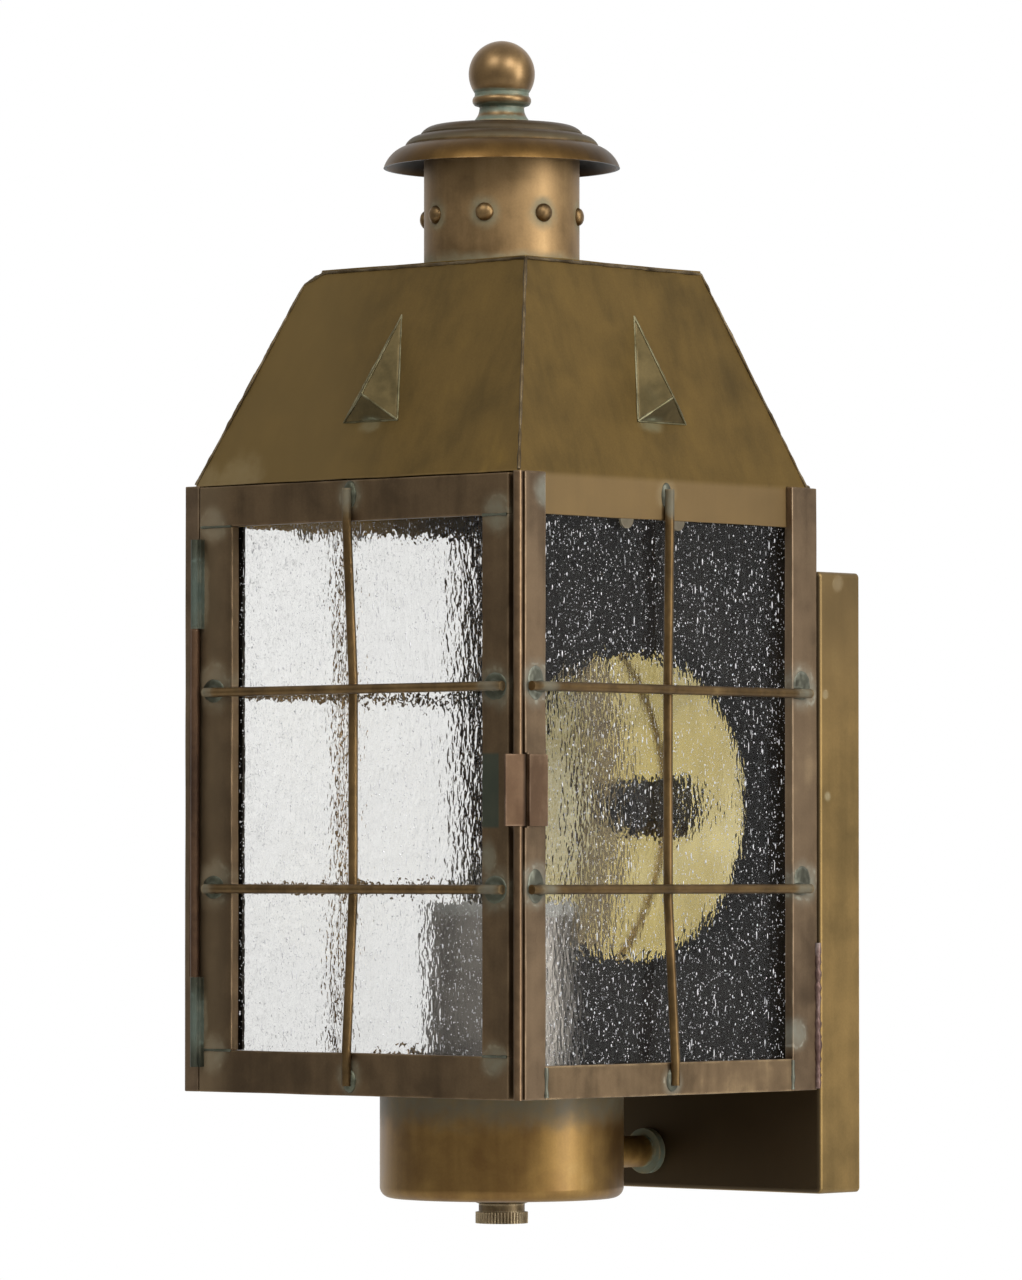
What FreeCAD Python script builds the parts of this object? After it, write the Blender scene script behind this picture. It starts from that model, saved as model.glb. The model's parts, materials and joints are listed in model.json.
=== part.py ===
import FreeCAD, Part
import math
import os
import Sketcher

# Wall lantern of soldered sheet brass: a glazed square body with a hinged front door, a steep roof with a
# chimney, a cup with a knurled nut below, and a pan that fastens it to the wall.
# Frame: origin in the wall plane at the middle of the wall plate, +Z up, the door facing -Y.

# Driving sizes in millimetres and degrees. "up" is measured from the body's bottom edge, unless it says more.
SIZES = {
    # wall plate: a pan of sheet brass, open towards the wall
    "plate_width": 142.0,
    "plate_height": 195.0,
    "plate_depth": 19.5,
    "plate_sheet": 1.0,
    "plate_edge_radius": 1.4,
    "plate_corner_radius": 1.6,
    "body_drop": 65.0,
    # strap that is screwed to the outlet box, and the two screws that hold the pan to it
    "strap_width": 26.0,
    "strap_thick": 2.0,
    "strap_tab_depth": 13.0,
    "strap_gap": 0.3,
    "slot_spacing": 88.9,
    "slot_length": 14.0,
    "slot_radius": 2.4,
    "strap_screw_radius": 2.0,
    "strap_screw_length": 8.0,
    "strap_screw_slot_width": 0.8,
    "strap_screw_slot_depth": 1.0,
    "strap_screw_reach": 7.5,
    "screw_gap": 0.1,
    # lantern body: flat bars, sheet panels and a floor
    "body_width": 140.0,
    "body_depth": 140.0,
    "body_height": 188.5,
    "bar_thick": 3.2,
    "sheet": 1.0,
    "stile_width": 12.0,
    "post_flange_width": 5.9,
    "side_rail_height": 10.0,
    "header_height": 12.5,
    "floor_thick": 1.2,
    "floor_gap": 0.6,
    # round rod at the front right corner, the latch that turns on it, and the plate beside the latch
    "rod_radius": 1.4,
    "rod_inset_side": 1.5,
    "rod_inset_front": 1.1,
    "rod_gap": 0.2,
    "latch_up": 82.0,
    "latch_height": 21.5,
    "latch_sheet": 0.8,
    "latch_reach": 5.9,
    "latch_rest_turn": 75.0,
    "latch_gap": 0.4,
    "latch_plate_width": 8.2,
    "pivot_clearance": 0.05,
    # door: four bars, hung on the left corner post by a long hinge in front of the seam
    "door_latch_gap": 4.4,
    "door_top_gap": 0.5,
    "door_edge_gap": 0.4,
    "door_hinge_stile_width": 14.0,
    "door_latch_stile_width": 10.7,
    "door_top_rail_height": 12.5,
    "door_bottom_rail_height": 13.0,
    "hinge_radius": 1.4,
    "hinge_pin_radius": 0.75,
    "hinge_front_gap": 0.3,
    "hinge_leaf_width": 2.4,
    "hinge_low_up": 7.7,
    "hinge_top_drop": 3.8,
    "knuckle_length": 27.8,
    "hinge_gap": 0.2,
    # seeded panes, the clips that hold them, and the wires that guard them
    "glass_thick": 3.0,
    "glass_lap": 3.5,
    "clip_height": 8.0,
    "clip_width": 2.0,
    "clip_lip": 4.0,
    "clip_sheet": 1.0,
    "clip_low_up": 30.0,
    "clip_high_up": 150.0,
    "tab_radius": 3.0,
    "tab_sheet": 0.8,
    "front_tab_shift": 18.0,
    "rear_tab_shift": 6.0,
    "wire_radius": 1.45,
    "wire_gap": 0.05,
    "upper_wire_up": 124.0,
    "lower_wire_up": 63.0,
    "door_wire_shift": 0.5,
    "wire_end_inset": 1.2,
    "left_wire_inset": 6.0,
    "door_wire_hinge_inset": 3.6,
    "side_wire_rear_inset": 5.0,
    "wire_rail_inset": 3.0,
    # roof of four sloping panels and a top plate, with raised three-sided peaks on three of them
    "roof_rise": 67.0,
    "roof_top_half_width": 45.3,
    "roof_top_front": 39.5,
    "roof_top_back": 43.0,
    "gablet_width": 22.5,
    "gablet_height": 33.5,
    "gablet_above_eave": 18.0,
    "gablet_peak_height": 5.5,
    "gablet_rise": 7.0,
    "side_gablet_shift": 5.0,
    "nip_along": 5.0,
    "nip_down": 3.4,
    # chimney with its rivets, spun cap and turned finial
    "chimney_radius": 24.4,
    "chimney_wall": 1.0,
    "vent_radius": 20.0,
    "rivet_radius": 2.85,
    "rivet_head": 2.0,
    "rivet_shank_radius": 1.5,
    "rivet_above_roof": 16.45,
    "rivet_turn": 29.2,
    "rivet_gap": 0.05,
    "cap_above_roof": 32.2,
    "cap_brim_radius": 37.1,
    "cap_brim_height": 6.8,
    "cap_brim_curve": 10.0,
    "cap_tier_radius": 30.2,
    "cap_tier_height": 2.7,
    "cap_tier_curve": 5.5,
    "cap_step": 0.6,
    "cap_crown_radius": 21.0,
    "cap_crown_height": 2.5,
    "cap_crown_curve": 5.5,
    "cap_crown_slope": 1.0,
    "cap_sheet": 1.0,
    "cap_fit": 0.05,
    "finial_base_radius": 9.2,
    "finial_base_height": 0.4,
    "finial_flare_height": 2.0,
    "finial_flare_curve": 2.4,
    "finial_neck_radius": 6.8,
    "finial_neck_height": 2.3,
    "finial_shoulder_height": 0.9,
    "finial_ring_radius": 8.5,
    "finial_ring_height": 2.9,
    "finial_ring_curve": 1.8,
    "finial_collar_height": 1.0,
    "finial_ball_radius": 10.4,
    "finial_stud_radius": 2.9,
    "finial_stud_length": 6.0,
    # polished dish on the back panel, and its nut with a stud
    "reflector_up": 89.0,
    "reflector_radius": 48.5,
    "reflector_depth": 8.2,
    "reflector_flat_radius": 10.0,
    "reflector_curve": 2000.0,
    "reflector_sheet": 0.8,
    "nut_radius": 9.0,
    "nut_height": 8.0,
    "nut_skirt": 4.5,
    "stud_radius": 2.0,
    "stud_end": 3.0,
    # cup below the floor, with its washer, threaded nipple and knurled nut
    "cup_radius": 38.1,
    "cup_height": 33.25,
    "cup_wall": 1.0,
    "cup_edge_radius": 3.5,
    "nipple_radius": 4.75,
    "nipple_bore_radius": 3.0,
    "washer_radius": 10.5,
    "washer_neck_radius": 7.6,
    "washer_height": 1.8,
    "washer_rim": 0.6,
    "knob_radius": 8.2,
    "knob_rim_height": 3.5,
    "knob_neck_radius": 7.2,
    "knob_neck_height": 2.6,
    "knob_floor": 1.5,
    "knob_gap": 0.1,
    "knurl_depth": 0.45,
    "knurl_width": 0.7,
    # lamp holder: brass cup, porcelain body, screw shell and centre contact
    "socket_cup_radius": 22.5,
    "socket_cup_wall": 1.0,
    "socket_cup_height": 57.5,
    "socket_gap": 0.3,
    "socket_seat_up": 14.0,
    "socket_height": 40.0,
    "socket_floor": 8.0,
    "shell_bore_radius": 13.35,
    "shell_wall": 0.6,
    "shell_height": 30.0,
    "contact_radius": 4.0,
    "contact_height": 2.0,
    # tube that carries the leads from the cup to the wall plate
    "arm_radius": 5.0,
    "arm_wall": 1.0,
    "arm_drop": 20.8,
    "arm_flange_radius": 7.2,
    "arm_flange_thick": 2.5,
    "arm_end": 3.0,
}
RIVET_COUNT = 8
KNURL_COUNT = 48
TOUCH = 1e-6

doc = FreeCAD.newDocument("wall_lantern")
sheet = doc.addObject("Spreadsheet::Sheet", "Sizes")
for row, (alias, number) in enumerate(SIZES.items(), start=1):
    sheet.set(f"A{row}", alias)
    sheet.set(f"B{row}", str(number))
    sheet.setAlias(f"B{row}", alias)
doc.recompute()


class Size:
    """A size: the formula that the document keeps for it, and its value now."""

    def __init__(self, formula, value):
        self.formula = formula
        self.value = value

    def __add__(self, other):
        other = as_size(other)
        return Size(f"({self.formula} + {other.formula})", self.value + other.value)

    def __sub__(self, other):
        other = as_size(other)
        return Size(f"({self.formula} - {other.formula})", self.value - other.value)

    def __mul__(self, other):
        other = as_size(other)
        return Size(f"({self.formula} * {other.formula})", self.value * other.value)

    def __truediv__(self, other):
        other = as_size(other)
        return Size(f"({self.formula} / {other.formula})", self.value / other.value)

    def __neg__(self):
        return Size(f"(-1 * {self.formula})", -self.value)

    def root(self):
        return Size(f"sqrt({self.formula})", math.sqrt(self.value))


def as_size(number):
    return number if isinstance(number, Size) else Size(str(number), float(number))


class SheetSizes:
    """Reads the sheet's cells by their aliases."""

    def __getattr__(self, alias):
        return Size(f"Sizes.{alias}", float(sheet.get(alias)))


size = SheetSizes()
zero = as_size(0)
nodes = []

half_width = size.body_width / 2
half_depth = size.body_depth / 2
axis_y = -(size.plate_depth + half_depth)
floor_z = -size.body_drop
inner_x = half_width - size.bar_thick
inner_y = half_depth - size.bar_thick
roof_top = size.body_height + size.roof_rise + size.sheet


def keep(piece):
    """Lists a piece as a node of its own."""
    nodes.append(piece)
    return piece


def bind(piece, **formulas):
    for name, formula in formulas.items():
        piece.setExpression(name, as_size(formula).formula)


def place(piece, x, y, z, turn=None):
    """Sets a piece by its distances from the lantern's axis and from the body's bottom edge."""
    if turn:
        piece.Placement = FreeCAD.Placement(FreeCAD.Vector(), turn)
    for letter, distance in zip("xyz", (as_size(x), axis_y + y, floor_z + z)):
        piece.setExpression(f"Placement.Base.{letter}", distance.formula)
    return piece


TURN_TO_X = FreeCAD.Rotation(FreeCAD.Vector(0, 1, 0), 90)
TURN_TO_BACK = FreeCAD.Rotation(FreeCAD.Vector(1, 0, 0), -90)
TURN_TO_FRONT = FreeCAD.Rotation(FreeCAD.Vector(1, 0, 0), 90)


def bar(name, low, high):
    """A straight bar or sheet between two opposite corners."""
    piece = doc.addObject("Part::Box", name)
    length, width, height = (as_size(b) - a for a, b in zip(low, high))
    bind(piece, Length=length, Width=width, Height=height)
    return place(piece, *low)


def rod(name, radius, length, foot, turn=None):
    piece = doc.addObject("Part::Cylinder", name)
    bind(piece, Radius=radius, Height=length)
    return place(piece, *foot, turn)


def cut(name, base, *tools):
    piece = doc.addObject("Part::Cut", name)
    piece.Base = base
    piece.Tool = tools[0] if len(tools) == 1 else fuse(f"{name}_cutters", *tools)
    return piece


def fuse(name, *pieces):
    piece = doc.addObject("Part::MultiFuse", name)
    piece.Shapes = list(pieces)
    return piece


def group(name, pieces):
    """Separate like solids that share one node."""
    piece = doc.addObject("Part::Compound", name)
    piece.Links = pieces
    return piece


def new_body(name):
    return doc.addObject("PartDesign::Body", name)


def origin_feature(body, role):
    return next(feature for feature in body.Origin.OriginFeatures if feature.Role == role)


def new_sketch(body, role, name):
    sketch = body.newObject("Sketcher::SketchObject", f"{body.Name}_{name}")
    sketch.AttachmentSupport = [(origin_feature(body, role), "")]
    sketch.MapMode = "FlatFace"
    return sketch


def hold(sketch, kind, item, end, distance):
    """Holds a point of the sketch at a distance from the origin, along X or Y."""
    distance = as_size(distance)
    index = sketch.addConstraint(Sketcher.Constraint(kind, -1, 1, item, end, distance.value))
    sketch.setExpression(f"Constraints[{index}]", distance.formula)


def outline(sketch, corners):
    """Draws a closed outline. A corner is (u, v), or (u, v, radius, "left" or "right") where an arc that turns
    that way leads to the next corner."""
    count = len(corners)
    items = []
    for index, corner in enumerate(corners):
        following = corners[(index + 1) % count]
        start = FreeCAD.Vector(as_size(corner[0]).value, as_size(corner[1]).value, 0)
        finish = FreeCAD.Vector(as_size(following[0]).value, as_size(following[1]).value, 0)
        if len(corner) == 2:
            items.append((sketch.addGeometry(Part.LineSegment(start, finish)), 1, 2))
            continue
        radius = as_size(corner[2])
        side = 1 if corner[3] == "left" else -1
        chord = finish - start
        middle = (start + finish) / 2
        across = FreeCAD.Vector(-chord.y, chord.x, 0) / chord.Length
        rise = math.sqrt(max(radius.value ** 2 - chord.Length ** 2 / 4, 0))
        centre = middle + across * (side * rise)
        first, last = (start, finish) if side > 0 else (finish, start)
        angles = [math.atan2(point.y - centre.y, point.x - centre.x) for point in (first, last)]
        circle = Part.Circle(centre, FreeCAD.Vector(0, 0, 1), radius.value)
        item = sketch.addGeometry(Part.ArcOfCircle(circle, angles[0], angles[1]))
        items.append((item, 1, 2) if side > 0 else (item, 2, 1))
        constraint = sketch.addConstraint(Sketcher.Constraint("Radius", item, radius.value))
        sketch.setExpression(f"Constraints[{constraint}]", radius.formula)
    for index, corner in enumerate(corners):
        item, start, finish = items[index]
        next_item, next_start, _ = items[(index + 1) % count]
        sketch.addConstraint(Sketcher.Constraint("Coincident", item, finish, next_item, next_start))
        for kind, distance, axis in (("DistanceX", corner[0], -2), ("DistanceY", corner[1], -1)):
            if as_size(distance).formula == zero.formula:
                sketch.addConstraint(Sketcher.Constraint("PointOnObject", item, start, axis))
            else:
                hold(sketch, kind, item, start, distance)


def ring(sketch, u, v, radius):
    """Draws a circle."""
    u, v, radius = as_size(u), as_size(v), as_size(radius)
    circle = Part.Circle(FreeCAD.Vector(u.value, v.value, 0), FreeCAD.Vector(0, 0, 1), radius.value)
    item = sketch.addGeometry(circle)
    for kind, distance, axis in (("DistanceX", u, -2), ("DistanceY", v, -1)):
        if distance.formula == zero.formula:
            sketch.addConstraint(Sketcher.Constraint("PointOnObject", item, 3, axis))
        else:
            hold(sketch, kind, item, 3, distance)
    constraint = sketch.addConstraint(Sketcher.Constraint("Radius", item, radius.value))
    sketch.setExpression(f"Constraints[{constraint}]", radius.formula)


def turned(name, corners):
    """A body turned about its own Z axis from a half section given as (radius, height) corners."""
    body = new_body(name)
    sketch = new_sketch(body, "XZ_Plane", "section")
    outline(sketch, corners)
    revolution = body.newObject("PartDesign::Revolution", f"{name}_turn")
    revolution.Profile = sketch
    revolution.ReferenceAxis = (sketch, ["V_Axis"])
    revolution.Angle = 360
    return body


def padded(name, role, corners, length, both_ways=False):
    body = new_body(name)
    sketch = new_sketch(body, role, "outline")
    outline(sketch, corners)
    pad = body.newObject("PartDesign::Pad", f"{name}_pad")
    pad.Profile = sketch
    pad.Midplane = both_ways
    bind(pad, Length=length)
    return body


def rounded_rectangle(half_u, half_v, radius):
    """Corners of an upright rectangle about the origin, for an outline with round corners."""
    flat_u = half_u - radius
    flat_v = half_v - radius
    return [
        (flat_u, -half_v, radius, "left"),
        (half_u, -flat_v),
        (half_u, flat_v, radius, "left"),
        (flat_u, half_v),
        (-flat_u, half_v, radius, "left"),
        (-half_u, flat_v),
        (-half_u, -flat_v, radius, "left"),
        (-flat_u, -half_v),
    ]


def round_edges(body, y, radius):
    """Rounds all edges of the body that lie in an upright plane, y in front of its own origin."""
    doc.recompute()
    base = body.Tip
    edges = [
        f"Edge{number}"
        for number, edge in enumerate(base.Shape.Edges, start=1)
        if max(abs(edge.BoundBox.YMin - y.value), abs(edge.BoundBox.YMax - y.value)) < TOUCH
    ]
    fillet = body.newObject("PartDesign::Fillet", f"{base.Name}_round")
    fillet.Base = (base, edges)
    bind(fillet, Radius=radius)


def pocket(body, sketch, length=None, reverse=False):
    """Cuts a sketch through the body both ways, or by a length against the sketch's normal, or along it."""
    doc.recompute()
    before = body.Shape.Volume
    feature = body.newObject("PartDesign::Pocket", f"{sketch.Name}_cut")
    feature.Profile = sketch
    if length is None:
        feature.Type = "ThroughAll"
        feature.Midplane = True
    else:
        feature.Reversed = reverse
        bind(feature, Length=length)
    doc.recompute()
    if body.Shape.Volume >= before:
        raise RuntimeError(f"{feature.Name} cuts nothing")
    return feature


def around(body, feature, count):
    """Repeats a feature evenly round the body's Z axis."""
    pattern = body.newObject("PartDesign::PolarPattern", f"{feature.Name}_round")
    pattern.Originals = [feature]
    pattern.Axis = (origin_feature(body, "Z_Axis"), [""])
    pattern.Angle = 360
    pattern.Occurrences = count
    body.Tip = pattern
    return pattern


def polyhedron(faces):
    """A solid from flat faces, each a list of points."""
    shell = Part.Shell([Part.Face(Part.makePolygon([*face, face[0]])) for face in faces])
    solid = Part.Solid(shell)
    if solid.Volume < 0:
        solid.reverse()
    return solid


def fixed_shape(name, shape, x, y, z):
    """A piece whose shape is worked out here from the sheet's values."""
    piece = doc.addObject("Part::Feature", name)
    piece.Shape = shape
    return place(piece, x, y, z)


# Wall plate: a pan folded from sheet, with tight corners and a slightly rounded front edge
plate_half_width = size.plate_width / 2
plate_half_height = size.plate_height / 2
plate_hollow_depth = size.plate_depth - size.plate_sheet
plate = padded(
    "wall_plate",
    "XZ_Plane",
    rounded_rectangle(plate_half_width, plate_half_height, size.plate_corner_radius),
    size.plate_depth,
)
plate_hollow = new_sketch(plate, "XZ_Plane", "hollow")
outline(
    plate_hollow,
    rounded_rectangle(
        plate_half_width - size.plate_sheet,
        plate_half_height - size.plate_sheet,
        size.plate_corner_radius - size.plate_sheet,
    ),
)
pocket(plate, plate_hollow, plate_hollow_depth, reverse=True)
round_edges(plate, -plate_hollow_depth, size.plate_edge_radius - size.plate_sheet)
round_edges(plate, -size.plate_depth, size.plate_edge_radius)
plate_holes = new_sketch(plate, "XZ_Plane", "front_holes")
ring(plate_holes, zero, floor_z - size.arm_drop, size.arm_radius + size.screw_gap)
ring(plate_holes, zero, floor_z + size.reflector_up, size.stud_radius + size.screw_gap)
pocket(plate, plate_holes)
plate_screw_holes = new_sketch(plate, "XY_Plane", "screw_holes")
ring(plate_screw_holes, zero, -size.strap_screw_reach, size.strap_screw_radius + size.screw_gap)
pocket(plate, plate_screw_holes)
keep(plate)

# Mounting strap: bent from flat bar, with a slot for each screw of the outlet box and two threaded tabs
tab_outer = plate_half_height - size.plate_sheet - size.strap_gap
tab_inner = tab_outer - size.strap_thick
strap = padded(
    "mounting_strap",
    "YZ_Plane",
    [
        (0, -tab_outer),
        (0, tab_outer),
        (-size.strap_tab_depth, tab_outer),
        (-size.strap_tab_depth, tab_inner),
        (-size.strap_thick, tab_inner),
        (-size.strap_thick, -tab_inner),
        (-size.strap_tab_depth, -tab_inner),
        (-size.strap_tab_depth, -tab_outer),
    ],
    size.strap_width,
    both_ways=True,
)
slots = new_sketch(strap, "XZ_Plane", "slots")
slot_half = size.slot_length / 2
slot_flat = slot_half - size.slot_radius
for slot_middle in (-(size.slot_spacing / 2), size.slot_spacing / 2):
    outline(
        slots,
        [
            (size.slot_radius, slot_middle - slot_flat),
            (size.slot_radius, slot_middle + slot_flat, size.slot_radius, "left"),
            (0, slot_middle + slot_half, size.slot_radius, "left"),
            (-size.slot_radius, slot_middle + slot_flat),
            (-size.slot_radius, slot_middle - slot_flat, size.slot_radius, "left"),
            (0, slot_middle - slot_half, size.slot_radius, "left"),
        ],
    )
pocket(strap, slots)
strap_threads = new_sketch(strap, "XY_Plane", "threads")
ring(strap_threads, zero, -size.strap_screw_reach, size.strap_screw_radius + size.pivot_clearance)
pocket(strap, strap_threads)
keep(strap)

# Headless screws, flush with the pan's top and bottom walls and threaded into the strap's tabs
strap_screws = []
screw_y = size.plate_depth + half_depth - size.strap_screw_reach
for end, way in (("top", 1), ("bottom", -1)):
    wall = size.body_drop + plate_half_height * way
    shank_foot = wall - size.strap_screw_length if way > 0 else wall
    slot_foot = wall - size.strap_screw_slot_depth if way > 0 else wall
    shank = rod(
        f"strap_screw_shank_{end}",
        size.strap_screw_radius,
        size.strap_screw_length,
        (zero, screw_y, shank_foot),
    )
    slot = bar(
        f"strap_screw_slot_{end}",
        (-size.strap_screw_radius, screw_y - size.strap_screw_slot_width / 2, slot_foot),
        (
            size.strap_screw_radius,
            screw_y + size.strap_screw_slot_width / 2,
            slot_foot + size.strap_screw_slot_depth,
        ),
    )
    strap_screws.append(cut(f"strap_screw_{end}", shank, slot))
keep(group("strap_screws", strap_screws))

# Back panel, holed for the reflector's stud, and floor plate, holed for the nipple
back_inner = half_depth - size.sheet
back_sheet = bar("back_sheet", (-inner_x, back_inner, 0), (inner_x, half_depth, size.body_height))
stud_hole = rod(
    "back_stud_hole",
    size.stud_radius + size.screw_gap,
    size.sheet * 3,
    (zero, back_inner - size.sheet, size.reflector_up),
    TURN_TO_BACK,
)
keep(cut("back_panel", back_sheet, stud_hole))
floor_sheet = bar(
    "floor_sheet",
    (-inner_x, size.floor_gap - inner_y, 0),
    (inner_x, back_inner, size.floor_thick),
)
nipple_hole_radius = size.nipple_radius + size.screw_gap
nipple_hole = rod("floor_nipple_hole", nipple_hole_radius, size.floor_thick, (zero, zero, zero))
keep(cut("floor_plate", floor_sheet, nipple_hole))

# Side frames: two upright bars and a bottom rail each. The left front bar is an angle that the door hangs on,
# and the right front one leaves the corner to the rod and is notched for the latch
rod_x = half_width - size.rod_inset_side
rod_y = size.rod_inset_front - half_depth
stile_back = size.stile_width - half_depth
rear_stile_front = half_depth - size.stile_width
post_edge = size.post_flange_width - half_width
barrel_bore = size.rod_radius + size.pivot_clearance
barrel_radius = barrel_bore + size.latch_sheet
latch_top = size.latch_up + size.latch_height
latch_plate_front = rod_y + barrel_radius + size.latch_gap
front_edge = {"right": rod_y + size.rod_radius + size.rod_gap, "left": -half_depth}
right_bar = bar(
    "right_front_bar",
    (inner_x, front_edge["right"], 0),
    (half_width, stile_back, size.body_height),
)
latch_notch = bar(
    "latch_notch",
    (inner_x, front_edge["right"], size.latch_up - size.latch_gap),
    (half_width, latch_plate_front, latch_top + size.latch_gap),
)
keep(cut("right_front_stile", right_bar, latch_notch))
left_post = padded(
    "left_front_stile",
    "XY_Plane",
    [
        (-half_width, -half_depth),
        (post_edge, -half_depth),
        (post_edge, -inner_y),
        (-inner_x, -inner_y),
        (-inner_x, stile_back),
        (-half_width, stile_back),
    ],
    size.body_height,
)
keep(place(left_post, zero, zero, zero))
for side, low_x, high_x in (("right", inner_x, half_width), ("left", -half_width, -inner_x)):
    keep(bar(f"{side}_rear_stile", (low_x, rear_stile_front, 0), (high_x, half_depth, size.body_height)))
    keep(bar(f"{side}_bottom_rail", (low_x, stile_back, 0), (high_x, rear_stile_front, size.side_rail_height)))
keep(rod("corner_rod", size.rod_radius, size.body_height, (rod_x, rod_y, zero)))

# Latch: a strip curled round the corner rod, turned out of the door's way, and a plate on the stile beside it
latch_barrel = doc.addObject("Part::Cylinder", "latch_barrel")
bind(latch_barrel, Radius=barrel_radius, Height=size.latch_height)
latch_strip = doc.addObject("Part::Box", "latch_strip")
bind(latch_strip, Length=size.latch_reach, Width=size.latch_sheet, Height=size.latch_height)
latch_strip.setExpression("Placement.Base.x", (-size.latch_reach).formula)
latch_strip.setExpression("Placement.Base.y", (-barrel_radius).formula)
latch_bore = doc.addObject("Part::Cylinder", "latch_bore")
bind(latch_bore, Radius=barrel_bore, Height=size.latch_height)
latch = cut("latch_leaf", fuse("latch_blank", latch_barrel, latch_strip), latch_bore)
latch_turn = FreeCAD.Rotation(FreeCAD.Vector(0, 0, 1), size.latch_rest_turn.value)
keep(place(latch, rod_x, rod_y, size.latch_up, latch_turn))
keep(
    bar(
        "latch_plate",
        (half_width, latch_plate_front, size.latch_up),
        (half_width + size.latch_sheet, latch_plate_front + size.latch_plate_width, latch_top),
    )
)

# Roof: four mitred panels, the side ones with an apron between the stiles, and a holed top plate
eave_x = (inner_x + size.sheet).value
eave_y = (inner_y + size.sheet).value
rise = size.roof_rise.value
sheet_thick = size.sheet.value
top_x = size.roof_top_half_width.value
top_front = size.roof_top_front.value
top_back = size.roof_top_back.value


def slanted(eave, top):
    """Thickness of a sloping panel, measured level."""
    return sheet_thick * math.hypot(1, (eave - top) / rise)


def roof_corners(skin):
    """The eight corners of the roof's outer (0) or inner (1) skin, by side and level."""
    side = skin * slanted(eave_x, top_x)
    front = skin * slanted(eave_y, top_front)
    back = skin * slanted(eave_y, top_back)
    corners = {}
    for level, x, y_front, y_back, z in (
        ("eave", eave_x, -eave_y, eave_y, 0),
        ("top", top_x, -top_front, top_back, rise),
    ):
        for way, name in ((-1, "left"), (1, "right")):
            corners[name, "front", level] = FreeCAD.Vector(way * (x - side), y_front + front, z)
            corners[name, "back", level] = FreeCAD.Vector(way * (x - side), y_back - back, z)
    return corners


outer = roof_corners(0)
inner = roof_corners(1)
PANEL_ENDS = {
    "front": (("left", "front"), ("right", "front")),
    "right": (("right", "front"), ("right", "back")),
    "back": (("right", "back"), ("left", "back")),
    "left": (("left", "back"), ("left", "front")),
}
nip_corner = outer["left", "front", "top"]
nip_hip = nip_corner + (outer["left", "front", "eave"] - nip_corner) * (size.nip_down.value / rise)
nip_front = nip_corner + FreeCAD.Vector(size.nip_along.value, 0, 0)
nip_side = nip_corner + FreeCAD.Vector(0, size.nip_along.value, 0)
nip_out = (nip_hip - nip_side).cross(nip_front - nip_side)
nip_out.normalize()
nip_middle = (nip_hip + nip_front + nip_side) / 3
nip_reach = size.nip_along.value * 4
nip_plane = Part.Plane(nip_middle, nip_out)
nip_cutter = nip_plane.toShape(-nip_reach, nip_reach, -nip_reach, nip_reach).extrude(nip_out * nip_reach)
for panel, (first, last) in PANEL_ENDS.items():
    rim = [(*first, "eave"), (*last, "eave"), (*last, "top"), (*first, "top")]
    faces = [[outer[key] for key in rim], [inner[key] for key in reversed(rim)]]
    for key, following in zip(rim, rim[1:] + rim[:1]):
        faces.append([outer[key], inner[key], inner[following], outer[following]])
    shape = polyhedron(faces)
    if panel in ("right", "left"):
        apron_front = stile_back.value
        apron_low_x = eave_x - sheet_thick if panel == "right" else -eave_x
        apron = Part.makeBox(
            sheet_thick,
            rear_stile_front.value - apron_front,
            size.header_height.value,
            FreeCAD.Vector(apron_low_x, apron_front, -size.header_height.value),
        )
        shape = shape.fuse(apron).removeSplitter()
    if panel in ("front", "left"):
        shape = shape.cut(nip_cutter)
    keep(fixed_shape(f"roof_{panel}_panel", shape, zero, zero, size.body_height))

top_plate = padded(
    "roof_top_plate",
    "XY_Plane",
    [
        (-size.roof_top_half_width, size.nip_along - size.roof_top_front),
        (size.nip_along - size.roof_top_half_width, -size.roof_top_front),
        (size.roof_top_half_width, -size.roof_top_front),
        (size.roof_top_half_width, size.roof_top_back),
        (-size.roof_top_half_width, size.roof_top_back),
    ],
    size.sheet,
)
vent = new_sketch(top_plate, "XY_Plane", "vent")
ring(vent, zero, zero, size.vent_radius)
pocket(top_plate, vent)
keep(place(top_plate, zero, zero, roof_top - size.sheet))

# Gablets: raised three-sided peaks, each with its base on the roof panel and an overhanging lower facet
panel_faces = {
    "front": (FreeCAD.Vector(1, 0, 0), FreeCAD.Vector(0, -1, 0), eave_y, top_front, 0.0),
    "right": (FreeCAD.Vector(0, 1, 0), FreeCAD.Vector(1, 0, 0), eave_x, top_x, size.side_gablet_shift.value),
    "left": (FreeCAD.Vector(0, -1, 0), FreeCAD.Vector(-1, 0, 0), eave_x, top_x, -size.side_gablet_shift.value),
}
base_up = size.gablet_above_eave.value
for panel, (along, out, eave, top, shift) in panel_faces.items():
    up = FreeCAD.Vector(0, 0, 1)

    def on_panel(sideways, height):
        return along * (shift + sideways) + out * (eave - (eave - top) * height / rise) + up * height

    normal = out * rise + up * (eave - top)
    normal.normalize()
    half_base = size.gablet_width.value / 2
    left = on_panel(-half_base, base_up)
    right = on_panel(half_base, base_up)
    apex = on_panel(0, base_up + size.gablet_height.value)
    peak = on_panel(0, base_up + size.gablet_peak_height.value) + normal * size.gablet_rise.value
    shape = polyhedron([[left, apex, right], [left, right, peak], [right, apex, peak], [apex, left, peak]])
    keep(fixed_shape(f"{panel}_gablet", shape, zero, zero, size.body_height))

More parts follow.
